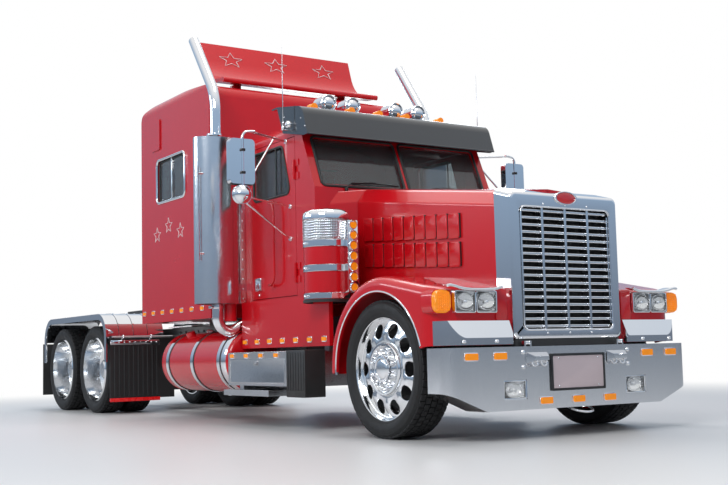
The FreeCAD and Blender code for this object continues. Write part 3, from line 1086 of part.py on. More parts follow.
# Step boxes ahead of the tanks.
step_sizes = {"step_rear": -2570, "step_front": -1430, "step_low": 380, "step_top": 680, "step_side": 1200,
              "step_inner": 700, "black_front": -1120, "lower_step_low": 290, "lower_step_high": 340,
              "lower_step_front": -1680, "lower_step_side": 1250, "step_arm": 80}
sizes(step_sizes)
step = fuse("StepSet",
            box("StepBox", ("step_rear", "step_front"), ("-step_side", "-step_inner"),
                ("step_low", "step_top")),
            box("StepBlack", ("step_front - over_run", "black_front"),
                ("-step_side + over_run * 2", "-step_inner"),
                ("step_low", "step_top")),
            box("LowerStep", ("step_rear", "lower_step_front"), ("-lower_step_side", "-step_inner"),
                ("lower_step_low", "lower_step_high")),
            box("StepPost", ("step_rear + step_arm", "step_rear + step_arm * 2"),
                ("-step_side + step_arm", "-step_inner"),
                ("lower_step_low", "step_low + over_run")),
            box("StepArm", ("step_rear + step_arm", "step_rear + step_arm * 2"),
                ("-step_inner - over_run", "-rail_side"),
                ("rail_bottom - step_arm * 2", "rail_bottom + step_arm")),
            box("StepArmFront", ("step_front - step_arm * 2", "step_front - step_arm"),
                ("-step_inner - over_run", "-rail_side"),
                ("rail_bottom - step_arm * 2", "rail_bottom + step_arm")))
part("step_boxes", both("Steps", step), apart=True)

# Hood: a lofted shell that narrows and drops to the grille, with two rows of raised louvres on each side.
hood_outer = loft("HoodOuter", "YZ_Plane", [
    (hood_outline("hood_rear_half", "hood_rear_top", "0", "hood_low"), "hood_rear"),
    (hood_outline("hood_front_half", "hood_front_top", "0", "hood_nose_low"), "hood_front")])
hood_inner = loft("HoodInner", "YZ_Plane", [
    (hood_outline("hood_rear_half", "hood_rear_top", "hood_wall", "hood_low - over_run"), "hood_rear"),
    (hood_outline("hood_front_half", "hood_front_top", "hood_wall", "hood_nose_low - over_run"),
     "hood_front")])
louvre_sizes = {"louvre_count": 9, "louvre_rear": -1035, "louvre_front": 256, "louvre_low": 1390,
                "louvre_drop": 95, "louvre_height": 195, "louvre_pitch": 225, "louvre_rise": 16,
                "louvre_sink": 10, "louvre_end": 12, "louvre_gap": 6}
sizes(louvre_sizes)
louvres = []
for row in range(2):
    for index in range(int(size("louvre_count"))):
        step = "(louvre_front - louvre_rear) / louvre_count"
        start = f"louvre_rear + {step} * {index}"
        half = (f"(hood_rear_half + (hood_front_half - hood_rear_half) * ({start} + {step} / 2 - hood_rear)"
                " / (hood_front - hood_rear))")
        low = f"louvre_low - louvre_drop * {index} / louvre_count + louvre_pitch * {row}"
        blade = bind(doc.addObject("Part::Wedge", f"Louvre{row}{index}"),
                     Xmin="0", Xmax=f"{step} - louvre_gap", X2min=f"{step} - louvre_gap * 2",
                     X2max=f"{step} - louvre_gap",
                     Ymin="-louvre_sink", Ymax="louvre_rise", Zmin="-louvre_height", Zmax="0",
                     Z2min="louvre_end - louvre_height", Z2max="-louvre_end")
        blade.Placement.Rotation = FreeCAD.Rotation(FreeCAD.Vector(1, 0, 0), 180)
        louvres.append(place(blade, start, f"-{half}", low))
part("hood_panel", cut("HoodCut", hood_outer, hood_inner), *louvres,
     *[mirror(f"LouvreLeft{index}", blade) for index, blade in enumerate(louvres)])

# Grille surround: a deep polished frame with rounded corners, hung on the tilt pins by two eyes.
surround_sizes = {"surround_front": 825, "surround_half": 550, "surround_low": 724, "surround_top": 1823,
                  "surround_crown": 1874, "surround_round": 45, "grille_half": 465, "grille_low": 795,
                  "grille_top": 1718, "grille_round": 50, "surround_wall": 40}
sizes(surround_sizes)
surround_side = side_pad("SurroundSide", [("hood_front", "surround_low"), ("surround_front", "surround_low"),
                                          ("surround_front", "surround_top"),
                                          ("hood_front", "surround_crown")],
                         "-surround_half", "surround_half")
surround_face = front_pad("SurroundFace", [("-surround_half", "surround_low", "surround_round"),
                                           ("surround_half", "surround_low", "surround_round"),
                                           ("surround_half", "surround_crown", "surround_round"),
                                           ("-surround_half", "surround_crown", "surround_round")],
                          "hood_front", "surround_front")
surround = common("Surround", surround_side, surround_face)
surround_hole = front_pad("SurroundHole", [("-grille_half", "grille_low", "grille_round"),
                                           ("grille_half", "grille_low", "grille_round"),
                                           ("grille_half", "grille_top", "grille_round"),
                                           ("-grille_half", "grille_top", "grille_round")],
                          "hood_front - over_run", "surround_front + over_run")
surround_inner = box("SurroundInner", ("hood_front - over_run", "surround_front - surround_wall"),
                     ("-surround_half + surround_wall", "surround_half - surround_wall"),
                     ("surround_low + surround_wall", "surround_top - surround_wall"))
tilt_eye = fuse("TiltEye", rod("TiltEyeRound", "y", ("tilt_x", "-tilt_side - tilt_eye_half", "tilt_z"),
                               "tilt_eye",
                               "tilt_eye_half * 2"),
                side_pad("TiltEyeArm", [("tilt_x", "tilt_z - tilt_eye / 2"),
                                        ("tilt_x + tilt_eye / 2", "tilt_z + tilt_eye / 2"),
                                        ("surround_front", "surround_low + tilt_eye"),
                                        ("surround_front - tilt_arm * 2", "surround_low + tilt_eye"),
                                        ("surround_front - tilt_arm * 2", "surround_low - tilt_eye / 2")],
                         "tilt_side - tilt_eye_half", "tilt_side + tilt_eye_half"))
tilt_bore = rod("TiltBore", "y", ("tilt_x", "-tilt_side - tilt_eye_half - over_run", "tilt_z"),
                "tilt_pin + play_gap",
                "tilt_eye_half * 2 + over_run * 2")
tilt_eyes = cut("TiltEyeBored", tilt_eye, tilt_bore)
part("grille_surround", cut("SurroundCut", surround, surround_hole, surround_inner), tilt_eyes,
     mirror("TiltEyeLeft", tilt_eyes))

# Grille: rounded slats across the opening, tied by upright bars that run down each end.
slat_sizes = {"slat_count": 17, "slat_height": 22, "slat_depth": 45, "slat_inset": 16, "slat_round": 8,
              "bar_width": 22, "bar_depth": 60, "bar_round": 9, "grille_play": 1}
sizes(slat_sizes)
slats = []
for index in range(int(size("slat_count"))):
    reach = "grille_half - grille_round / 2" if index in (0, int(size("slat_count")) - 1) else "grille_half"
    middle = f"grille_low + (grille_top - grille_low) * ({index} * 2 + 1) / (slat_count * 2)"
    slats.append(side_pad(f"Slat{index}", [
        ("surround_front - slat_inset - slat_depth", f"{middle} - slat_height / 2"),
        ("surround_front - slat_inset", f"{middle} - slat_height / 2", "slat_round"),
        ("surround_front - slat_inset", f"{middle} + slat_height / 2", "slat_round"),
        ("surround_front - slat_inset - slat_depth", f"{middle} + slat_height / 2")], f"-({reach})", reach))
for index, side in enumerate(("-grille_half + grille_play", "-grille_half / 2 - bar_width / 2",
                              "-bar_width / 2",
                              "grille_half / 2 - bar_width / 2", "grille_half - bar_width - grille_play")):
    end = "grille_round" if index in (0, 4) else "grille_play"
    slats.append(top_pad(f"Upright{index}", [
        ("surround_front - slat_inset - bar_depth", side),
                                             ("surround_front - slat_inset / 2", side, "bar_round"),
        ("surround_front - slat_inset / 2", f"{side} + bar_width", "bar_round"),
        ("surround_front - slat_inset - bar_depth", f"{side} + bar_width")],
        f"grille_low + {end}", f"grille_top - {end}"))
part("grille", *slats)

# Front fenders: thin shells round the steered wheels that swell into noses for the lamps.
fender_sizes = {"fender_inner": 500, "fender_side": 1220, "fender_lip_radius": 583, "fender_rear": -705,
                "fender_rear_low": 486, "fender_back_top": 1380, "fender_round": 705, "fender_front": 640,
                "fender_nose": 780, "fender_nose_top": 1100, "fender_nose_low": 690,
                "fender_nose_round": 110, "fender_corner": 200, "fender_edge": 75, "fender_skin": 24}
sizes(fender_sizes)


def fender_block(name, inset, low):
    """The fender's solid form: its side view, with the nose rounded in plan, inset by its skin."""
    base = [("fender_front", "fender_nose_low"), (f"fender_nose - {inset}", "fender_nose_low")]
    if inset != "0":
        base = [(f"fender_nose - {inset}", low)]
    profile = [(f"fender_rear + {inset}", low)] + base + [
        (f"fender_nose - {inset}", f"fender_nose_top - {inset}", f"fender_nose_round - {inset}"),
        (f"fender_rear + {inset}", f"fender_back_top - {inset}", f"fender_round - {inset}")]
    plan = [("fender_rear - over_run", "-fender_inner + over_run * 2"),
            ("fender_rear - over_run", f"-fender_side + {inset}"),
            (f"fender_nose - {inset}", f"-fender_side + {inset}", f"fender_corner - {inset}"),
            (f"fender_nose - {inset}", "-fender_inner + over_run * 2")]
    inner = "fender_inner" if inset == "0" else "fender_inner - over_run"
    return common(name, side_pad(name + "Side", profile, inner, f"fender_side - {inset}"),
                  top_pad(name + "Plan", plan, "fender_rear_low - over_run * 2", "fender_back_top"))


fender_solid = fender_block("FenderOuter", "0", "fender_rear_low")
fender_outer = soften("FenderRounded", fender_solid, "fender_edge",
                      lambda spot: spot.y < -size("fender_side - fender_corner")
                      and spot.z > size("fender_nose_top - fender_nose_round"))
fender_inner = fender_block("FenderInner", "fender_skin", "fender_rear_low - over_run")
arch = rod("Arch", "y", ("0", "-fender_side - over_run", "tyre_radius"), "fender_lip_radius", "fender_side")
part("front_fenders", both("Fenders", cut("Fender", fender_outer, fender_inner, arch, hood_outer, surround)),
     apart=True)

# Fender plates: polished wedges between the fender noses and the bumper.
plate_sizes = {"plate_inner": 580, "plate_outer": 1205, "plate_top": 866, "plate_bend": 742,
               "plate_low": 692, "plate_top_x": 803, "plate_bend_x": 856, "plate_rear": 700,
               "plate_corner": 190, "plate_round": 20}
sizes(plate_sizes)
plate_side = side_pad("PlateSide", [("plate_rear", "plate_low"), ("plate_bend_x", "plate_low"),
                                    ("plate_bend_x", "plate_bend"), ("plate_top_x", "plate_top"),
                                    ("plate_rear", "plate_top")], "plate_inner", "plate_outer")
plate_plan = top_pad("PlatePlan", [("plate_rear", "-plate_inner", "plate_round"),
                                   ("plate_rear", "-plate_outer"),
                                   ("plate_bend_x", "-plate_outer", "plate_corner"),
                                   ("plate_bend_x", "-plate_inner", "plate_round")],
                     "plate_low - over_run", "plate_top + over_run")
part("fender_plates", both("FenderPlates", cut("FenderPlate", common("PlateSolid", plate_side, plate_plan),
                                               fender_solid)),
     apart=True)

# Head lamps and turn lamps: a pair of square lamps on each nose and an amber lens that wraps round its corner.
lamp_sizes = {"lamp_low": 918, "lamp_high": 1092, "lamp_inner": 690, "lamp_outer": 1085, "lamp_out": 34,
              "lamp_round": 18, "lamp_split": 8, "turn_rear": 620, "turn_out": 26, "turn_end_round": 60}
sizes(lamp_sizes)
lamp_middle = "(lamp_inner + lamp_outer) / 2"
lamps = []
for index, (near, far) in enumerate((("lamp_inner", f"{lamp_middle} - lamp_split / 2"),
                                     (f"{lamp_middle} + lamp_split / 2", "lamp_outer"))):
    lamps.append(front_pad(f"Lamp{index}", [(f"-({far})", "lamp_low", "lamp_round"),
                                            (f"-({near})", "lamp_low", "lamp_round"),
                                            (f"-({near})", "lamp_high", "lamp_round"),
                                            (f"-({far})", "lamp_high", "lamp_round")],
                           "fender_nose - fender_nose_round", "fender_nose + lamp_out"))
lamp_bar = box("LampBar", ("fender_nose - fender_nose_round", "fender_nose + lamp_out / 2"),
               ("-lamp_outer + lamp_round", "-lamp_inner - lamp_round"),
               ("lamp_low + lamp_round", "lamp_high - lamp_round"))
lamp_solid = common("LampSeat", fuse("LampSet", *lamps, lamp_bar),
                    box("LampFront", ("fender_nose - fender_nose_round", "fender_nose + lamp_out"),
                        ("-fender_side + fender_corner * 2 / 3", "-lamp_inner"),
                        ("lamp_low", "lamp_high")))
part("headlights", both("Headlamps", cut("HeadlampSeat", lamp_solid, fender_solid)), apart=True)
turn_plan = top_pad("TurnPlan", [("turn_rear", "-fender_side - turn_out"),
                                 ("fender_nose + turn_out", "-fender_side - turn_out",
                                  "fender_corner + turn_out"),
                                 ("fender_nose + turn_out", "-fender_side + fender_corner + over_run"),
                                 ("turn_rear", "-fender_side + fender_corner + over_run")], "lamp_low",
                    "lamp_high")
turn_side = side_pad("TurnSide", [("turn_rear", "lamp_low", "turn_end_round"),
                                  ("fender_nose + turn_out", "lamp_low"),
                                  ("fender_nose + turn_out", "lamp_high"),
                                  ("turn_rear", "lamp_high", "turn_end_round")],
                     "fender_side - fender_corner * 2 / 3 + hinge_gap", "fender_side + turn_out")
part("turn_lamps", both("TurnLamps", cut("TurnLamp", common("TurnSolid", turn_plan, turn_side),
                                         fender_solid)), apart=True)

# Rear fenders: one ribbed sheet over both drive wheels on each side, with an outer rim that hangs lower.
cover_sizes = {"cover_inner": 560, "cover_side": 1280, "cover_top": 1190, "cover_thick": 14,
               "cover_front": -5630, "cover_rear": -7980, "cover_drop_low": 880, "cover_bend": 290,
               "cover_arm": 60, "cover_rim": 70, "cover_rim_low": 615, "cover_rib_rise": 8,
               "cover_rib_width": 22, "cover_rib_count": 3}
sizes(cover_sizes)


def cover_outline(grow, thick, low):
    """Side view of the sheet: flat over the wheels and rolled down at each end."""
    front, rear, top = f"cover_front + {grow}", f"cover_rear - {grow}", f"cover_top + {grow}"
    return [(front, low), (front, top, f"cover_bend + {grow}"), (rear, top, f"cover_bend + {grow}"),
            (rear, low),
            (f"{rear} + {thick}", low), (f"{rear} + {thick}", f"{top} - {thick}",
                                         f"cover_bend + {grow} - {thick}"),
            (f"{front} - {thick}", f"{top} - {thick}", f"cover_bend + {grow} - {thick}"),
            (f"{front} - {thick}", low)]


cover_spots = [f"cover_inner + (cover_side - cover_inner) * {index + 1} / (cover_rib_count + 1)"
               for index in range(int(size("cover_rib_count")))]
covers = [side_pad("Cover", cover_outline("0", "cover_thick", "cover_drop_low"), "cover_inner", "cover_side"),
          side_pad("CoverRim", cover_outline("0", "cover_rim", "cover_rim_low"), "cover_side - cover_thick",
                   "cover_side")]
covers += [side_pad(f"CoverRib{index}", cover_outline("cover_rib_rise", "cover_rib_rise + cover_thick / 2",
                                                      "cover_drop_low"),
                    spot, f"{spot} + cover_rib_width") for index, spot in enumerate(cover_spots)]
cover_middle = "-wheel_base - axle_spacing / 2 - cover_arm / 2"
cover_bearer = box("CoverArm", (cover_middle, f"{cover_middle} + cover_arm"),
                   ("-cover_side + cover_arm", "-rail_side"),
                   ("cover_top - cover_thick - cover_arm", "cover_top - cover_thick / 2"))
cover_post = box("CoverPost", (cover_middle, f"{cover_middle} + cover_arm"),
                 ("-rail_side - cover_arm", "-rail_side"),
                 ("rail_bottom + cover_arm", "cover_top - cover_thick / 2"))
part("rear_fenders", both("CoverPair", fuse("CoverSet", *covers, cover_bearer, cover_post)), apart=True)

# Flaps before and behind the drive wheels.
flap_sizes = {"flap_thick": 12, "flap_low": 180, "flap_high": 870, "flap_inner": 620, "flap_bar": 40}
sizes(flap_sizes)
rear_flap = fuse("RearFlap",
                 box("FlapRear", ("nose_reach - overall_length", "nose_reach - overall_length + flap_thick"),
                     ("-dual_side * 2 + flap_inner", "-flap_inner"), ("flap_low", "flap_high")),
                 box("FlapBar", ("nose_reach - overall_length",
                                 "nose_reach - overall_length + rail_rear_gap"),
                     ("-flap_inner - flap_bar * 2", "-rail_side + rail_wall"),
                     ("flap_high - flap_bar", "flap_high")))
front_flap = box("FlapFront", ("cover_front + cover_rib_rise", "cover_front + cover_rib_rise + flap_thick"),
                 ("-cover_side + flap_bar", "-rail_side"),
                 ("flap_low", "cover_drop_low + flap_bar"))
part("mud_flaps", both("Flaps", group("FlapSet", rear_flap, front_flap)), apart=True)

# Deck plate behind the sleeper.
deck_sizes = {"deck_rear": -5500, "deck_thick": 12, "deck_half": 550}
sizes(deck_sizes)
part("deck", box("DeckPlate", ("deck_rear", "sleeper_rear"), ("-deck_half", "deck_half"),
                 ("rail_top", "rail_top + deck_thick")))

# Fifth wheel: two brackets on the frame and a plate that rocks on a crosswise pin.
fifth_sizes = {"fifth_x": -6800, "fifth_half": 450, "fifth_top": 1265, "fifth_plate": 45,
               "fifth_front": 420, "fifth_rear": 400, "fifth_pin_z": 1150, "fifth_pin_radius": 25,
               "bracket_side": 330, "bracket_half": 40, "bracket_length": 320, "bracket_foot": 60,
               "bracket_cap": 38, "jaw_radius": 26, "throat_half": 150, "lug_half": 30}
sizes(fifth_sizes)
bracket = side_pad("Bracket", [("fifth_x - bracket_length", "rail_top"),
                               ("fifth_x + bracket_length", "rail_top"),
                               ("fifth_x + bracket_foot", "fifth_pin_z + bracket_cap"),
                               ("fifth_x - bracket_foot", "fifth_pin_z + bracket_cap")],
                   "bracket_side + play_gap", "bracket_side + bracket_half * 2")
bracket_bore = rod("BracketBore", "y", ("fifth_x", "-bracket_side - bracket_half * 2 - over_run",
                                        "fifth_pin_z"),
                   "fifth_pin_radius + play_gap", "bracket_half * 2 + over_run * 2")
part("fifth_wheel_base", both("Brackets", cut("BracketCut", bracket, bracket_bore)), apart=True)
plate = top_pad("FifthPlate", [("fifth_x + fifth_front", "-fifth_half", "throat_half"),
                               ("fifth_x + fifth_front", "fifth_half", "throat_half"),
                               ("fifth_x - fifth_rear", "fifth_half", "throat_half"),
                               ("fifth_x - fifth_rear", "throat_half"), ("fifth_x", "jaw_radius"),
                               ("fifth_x", "-jaw_radius"), ("fifth_x - fifth_rear", "-throat_half"),
                               ("fifth_x - fifth_rear", "-fifth_half", "throat_half")],
                "fifth_top - fifth_plate", "fifth_top")
jaw = rod("Jaw", "z", ("fifth_x", "0", "fifth_pin_z"), "jaw_radius", "fifth_top - fifth_pin_z + over_run")
lug = fuse("Lug", box("LugBlock", ("fifth_x - bracket_foot", "fifth_x + bracket_foot"),
                      ("-bracket_side + hinge_gap", "-bracket_side + hinge_gap + lug_half * 2"),
                      ("fifth_pin_z - bracket_foot / 2", "fifth_top - fifth_plate / 2")),
           rod("LugPin", "y", ("fifth_x", "-bracket_side - bracket_half * 2", "fifth_pin_z"),
               "fifth_pin_radius",
               "bracket_half * 2 + lug_half"))
part("fifth_wheel_plate", cut("PlateCut", fuse("PlateSolid", plate, lug, mirror("LugLeft", lug)), jaw))

# Roof wing: a curved sheet with a rolled lower lip on two posts.
wing_sizes = {"wing_half": 950, "wing_top_x": -3710, "wing_top_z": 4020, "wing_low_x": -3130,
              "wing_low_z": 3470, "wing_heel_x": -3560, "wing_heel_z": 3560, "wing_round": 420,
              "wing_thick": 36, "post_side": 650, "post_radius": 25, "post_x": -3430, "post_top": 3560,
              "post_dome": 60}
sizes(wing_sizes)
wing = side_pad("Wing", [("wing_low_x", "wing_low_z + wing_thick"),
                         ("wing_heel_x", "wing_heel_z", "wing_round"),
                         ("wing_top_x", "wing_top_z"), ("wing_top_x - wing_thick", "wing_top_z"),
                         ("wing_heel_x - wing_thick", "wing_heel_z - wing_thick", "wing_round + wing_thick"),
                         ("wing_low_x", "wing_low_z")], "-wing_half", "wing_half")
wing_lip = rod("WingLip", "y", ("wing_low_x", "-wing_half", "wing_low_z + wing_thick / 2"),
               "wing_thick * 3 / 4", "wing_half * 2")
wing_posts = []
for label, spot in (("Right", "-post_side"), ("Left", "post_side")):
    wing_posts += [rod(f"WingPost{label}", "z", ("post_x", spot, "sleeper_front_top"), "post_radius",
                       "post_top - sleeper_front_top"),
                   rod(f"WingFlange{label}", "z", ("post_x", spot, "sleeper_front_top"), "post_dome",
                       "sleeper_top - sleeper_front_top + wing_thick / 2")]
part("wing", cut("WingSeat", fuse("WingSolid", wing, wing_lip, *wing_posts), sleeper_block("WingFoot", "0")))

# Marker lamps: small amber lenses along the skirts, sleeper, steps, lamp bars, bumper and roof.
marker_sizes = {"lens_length": 60, "lens_height": 34, "lens_out": 14, "lens_round": 8, "strip_count": 7,
                "berth_strip_rear": -4750, "berth_strip_front": -3240, "berth_strip_z": 1140,
                "skirt_strip_rear": -2500, "skirt_strip_front": -1040, "skirt_strip_z": 780,
                "step_strip_count": 4, "step_strip_rear": -2480, "step_strip_front": -1620,
                "step_strip_z": 652, "bar_lens_radius": 32, "bumper_lens_z": 608, "bumper_lens_near": 748,
                "bumper_lens_far": 1012, "bumper_lens_low_z": 277, "bumper_lens_low_side": 323,
                "bumper_lens_width": 110, "bumper_lens_height": 48, "roof_lens_near": 317,
                "roof_lens_far": 729, "roof_lens_x": -1755, "roof_lens_length": 90, "roof_lens_radius": 34}
sizes(marker_sizes)
side_lenses, front_lenses, roof_lenses = [], [], []
for row, (first, last, z, count, carrier) in enumerate((
        ("berth_strip_rear", "berth_strip_front", "berth_strip_z", "strip_count", "sleeper_half"),
        ("skirt_strip_rear", "skirt_strip_front", "skirt_strip_z", "strip_count", "skirt_side"),
        ("step_strip_rear", "step_strip_front", "step_strip_z", "step_strip_count", "step_side"))):
    for index in range(int(size(count))):
        x = f"{first} + ({last} - {first}) * {index} / ({count} - 1)"
        side_lenses.append(side_pad(f"SideLens{row}{index}", [
            (f"{x} {a} lens_length / 2", f"{z} {b} lens_height / 2", "lens_round")
            for a, b in (("-", "-"), ("+", "-"), ("+", "+"), ("-", "+"))], carrier, f"{carrier} + lens_out"))
for index in range(int(size("strip_count"))):
    front_lenses.append(rod(f"BarLens{index}", "x", (
        "bar_front_x", "-(bar_near + bar_far) / 2", f"bar_low + (bar_high - bar_low) * ({index} * 2 + 1) / (strip_count * 2)"),
        "bar_lens_radius", "lens_out"))
for index, (side, z) in enumerate((("bumper_lens_near", "bumper_lens_z"),
                                   ("bumper_lens_far", "bumper_lens_z"),
                                   ("bumper_lens_low_side", "bumper_lens_low_z"))):
    front_lenses.append(front_pad(f"BumperLens{index}", [
        (f"-{side} {a} bumper_lens_width / 2", f"{z} {b} bumper_lens_height / 2", "lens_round")
        for a, b in (("-", "-"), ("+", "-"), ("+", "+"), ("-", "+"))], "bumper_front",
                                  "bumper_front + lens_out"))
middle_lens = front_pad("BumperLensMiddle", [
    (f"0 {a} bumper_lens_width / 2", f"bumper_lens_low_z {b} bumper_lens_height / 2", "lens_round")
    for a, b in (("-", "-"), ("+", "-"), ("+", "+"), ("-", "+"))], "bumper_front", "bumper_front + lens_out")
roof_top = "roof_crown + play_gap + visor_thick"
for index, side in enumerate(("0", "roof_lens_near", "roof_lens_far")):
    lens = rod(f"RoofLensRod{index}", "x", ("roof_lens_x", f"-{side}", f"{roof_top} + roof_lens_radius / 2"),
               "roof_lens_radius", "roof_lens_length")
    roof_lenses.append(cut(f"RoofLens{index}", lens, visor_solid))
part("marker_lamps", both("SideLenses", group("SideLensSet", *side_lenses, *front_lenses)), middle_lens,
     roof_lenses[0], both("RoofLenses", group("RoofLensSet", *roof_lenses[1:])), apart=True)

doc.recompute()
bad = [thing.Name for thing in doc.Objects if "Invalid" in thing.State or "Error" in thing.State]
if bad:
    raise RuntimeError(f"failed objects: {bad}")
os.makedirs("parts", exist_ok=True)
for made in parts:
    if made.Shape.isNull() or not made.Shape.isValid() or not made.Shape.Solids:
        raise RuntimeError(f"bad shape: {made.Label}")
    made.Shape.exportStep(f"parts/{made.Label}.step")
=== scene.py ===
import math
import bpy
from mathutils import Matrix, Vector


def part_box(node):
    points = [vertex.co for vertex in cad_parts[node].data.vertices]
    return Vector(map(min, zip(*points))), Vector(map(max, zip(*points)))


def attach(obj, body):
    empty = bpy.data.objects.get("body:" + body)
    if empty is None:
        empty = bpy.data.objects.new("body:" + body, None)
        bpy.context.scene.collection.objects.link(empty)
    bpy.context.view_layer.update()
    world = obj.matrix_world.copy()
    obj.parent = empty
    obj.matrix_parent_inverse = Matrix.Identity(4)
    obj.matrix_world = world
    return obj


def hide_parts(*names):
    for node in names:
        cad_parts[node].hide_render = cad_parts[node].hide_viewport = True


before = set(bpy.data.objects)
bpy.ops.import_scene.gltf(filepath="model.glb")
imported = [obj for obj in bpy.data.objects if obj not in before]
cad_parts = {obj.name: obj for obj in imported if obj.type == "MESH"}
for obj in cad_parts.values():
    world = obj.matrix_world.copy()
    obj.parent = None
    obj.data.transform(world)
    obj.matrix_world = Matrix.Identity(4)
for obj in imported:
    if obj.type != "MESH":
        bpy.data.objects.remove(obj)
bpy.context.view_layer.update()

# Frame rails and cross members: pressed steel channels, welded and bolted, in satin black paint.
# Sizes are in metres. X runs from the front axle to the nose, Y to the driver's left, Z up,
# and each finished piece is then set forward to the place that the frame's axle has.
front_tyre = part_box("tyre_front_left")
axle_x = (front_tyre[0][0] + front_tyre[1][0]) / 2


def node(tree, kind, **inputs):
    """A new node in a material's or the world's tree, with its inputs set. A _ stands for a space."""
    made = tree.nodes.new("ShaderNode" + kind)
    for socket, value in inputs.items():
        made.inputs[socket.replace("_", " ")].default_value = value
    return made


def finish(name, slot, colour, roughness, metal=0.0, drift=0.12, patch=2.5, wear=0.15, grain=0.0, fine=180.0,
           stretch=(1.0, 1.0, 1.0), **sockets):
    """A surface whose colour and gloss drift in soft patches, with a fine grain in relief along a direction."""
    made = bpy.data.materials.new(name)
    made.use_nodes = True
    tree = made.node_tree
    link, shader = tree.links.new, tree.nodes["Principled BSDF"]
    for socket, value in {"Metallic": metal, **sockets}.items():
        shader.inputs[socket.replace("_", " ")].default_value = value
    place = node(tree, "TexCoord")
    patches = node(tree, "TexNoise", Scale=patch, Detail=5.0)
    link(place.outputs["Object"], patches.inputs["Vector"])
    tint = node(tree, "Mix")
    tint.data_type = "RGBA"
    for end, share in (("A", 1 - drift), ("B", 1 + drift)):
        tint.inputs[end].default_value = (*(min(1, part * share) for part in colour), 1)
    link(patches.outputs["Fac"], tint.inputs["Factor"])
    link(tint.outputs["Result"], shader.inputs["Base Color"])
    turned = node(tree, "Mapping", Scale=stretch)
    link(place.outputs["Object"], turned.inputs["Vector"])
    specks = node(tree, "TexNoise", Scale=fine, Detail=3.0)
    link(turned.outputs["Vector"], specks.inputs["Vector"])
    gloss = node(tree, "MapRange", From_Min=0.3, From_Max=0.7, To_Min=roughness * (1 - wear),
                 To_Max=roughness * (1 + wear))
    link((specks if grain and metal else patches).outputs["Fac"], gloss.inputs["Value"])
    link(gloss.outputs["Result"], shader.inputs["Roughness"])
    if grain:
        relief = node(tree, "Bump", Strength=0.6, Distance=grain)
        link(specks.outputs["Fac"], relief.inputs["Height"])
        link(relief.outputs["Normal"], shader.inputs["Normal"])
    return made


def dress(made, *nodes):
    """The CAD nodes that keep their own shape take this finish."""
    for name in nodes:
        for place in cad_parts[name].material_slots:
            place.material = made


def clear():
    """Nothing stays selected, so that the next operator acts on the new piece alone."""
    if bpy.context.mode != "OBJECT":
        bpy.ops.object.mode_set(mode="OBJECT")
    bpy.context.tool_settings.mesh_select_mode = (True, False, False)
    bpy.ops.object.select_all(action="DESELECT")


def take(piece, whole=False):
    """Makes the piece the one that operators act on, with its whole mesh selected in edit mode if asked."""
    clear()
    piece.select_set(True)
    bpy.context.view_layer.objects.active = piece
    if whole:
        bpy.ops.object.mode_set(mode="EDIT")
        bpy.ops.mesh.select_all(action="SELECT")
    return piece


def settle():
    """The place, turn and size of the selected piece go into its mesh."""
    bpy.ops.object.transform_apply(location=True, rotation=True, scale=True)
    return bpy.context.object


def placed(piece, spot=(0, 0, 0), turn=(0, 0, 0), size=(1, 1, 1)):
    """Sizes and turns the piece about the origin, and moves it to its spot."""
    take(piece)
    piece.location, piece.rotation_euler, piece.scale = spot, turn, size
    return settle()


def outward(piece):
    """Turns every face of the piece outwards."""
    take(piece, whole=True)
    bpy.ops.mesh.normals_make_consistent(inside=False)
    clear()
    return piece


def modify(piece, kind, **values):
    """Adds a modifier, sets it and applies it."""
    take(piece)
    change = piece.modifiers.new("shape", kind)
    for word, value in values.items():
        setattr(change, word, value)
    bpy.ops.object.modifier_apply(modifier="shape")
    return piece


def eased(piece, edge=0.0, steps=2, angle=35):
    """Rounds the sharp edges and shades the curved faces smooth."""
    if edge:
        modify(piece, "BEVEL", width=edge, segments=steps, limit_method="ANGLE", angle_limit=math.radians(angle),
               harden_normals=True)
    take(piece)
    bpy.ops.object.shade_smooth_by_angle(angle=math.radians(angle))
    return piece


def cuboid(low, high):
    """A sharp block between two corners."""
    clear()
    middle = [(a + b) / 2 for a, b in zip(low, high)]
    bpy.ops.mesh.primitive_cube_add(size=1, location=middle, scale=[abs(b - a) for a, b in zip(low, high)])
    return settle()


def block(low, high, edge=0.002):
    """A block between two corners with rounded edges."""
    return eased(cuboid(low, high), edge)


turns = {"x": (0, math.pi / 2, 0), "y": (-math.pi / 2, 0, 0), "z": (0, 0, 0)}
axes = {"x": (1, 0, 0), "y": (0, 1, 0), "z": (0, 0, 1)}


def drum(start, along, radius, length, edge=0.002, sides=32, far=None):
    """A round bar, or a taper if its far radius is given, from its start point along x, y or z."""
    clear()
    bpy.ops.mesh.primitive_cone_add(vertices=sides, radius1=radius, radius2=radius if far is None else far,
                                    depth=length, location=(0, 0, length / 2))
    return eased(placed(settle(), start, turns[along]), edge)


def joined(*pieces):
    """Several shapes as one piece."""
    take(pieces[0])
    for piece in pieces:
        piece.select_set(True)
    if len(pieces) > 1:
        bpy.ops.object.join()
    return pieces[0]


def both(*pieces):
    """The shapes as one piece, with the same on the truck's other side."""
    return modify(joined(*pieces), "MIRROR", use_axis=(False, True, False), use_mirror_merge=False)


def fit(name, piece, made, body="chassis", slot=None, replaced=None):
    """Names the piece, gives it its finish, sets it at its place on the truck and fixes it to its body."""
    take(piece)
    piece.name = piece.data.name = name
    bpy.ops.transform.translate(value=(axle_x, 0, 0))
    settle()
    piece.data.materials.clear()
    piece.data.materials.append(made)
    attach(piece, body)
    if replaced:
        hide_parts(replaced)
    clear()
    return piece


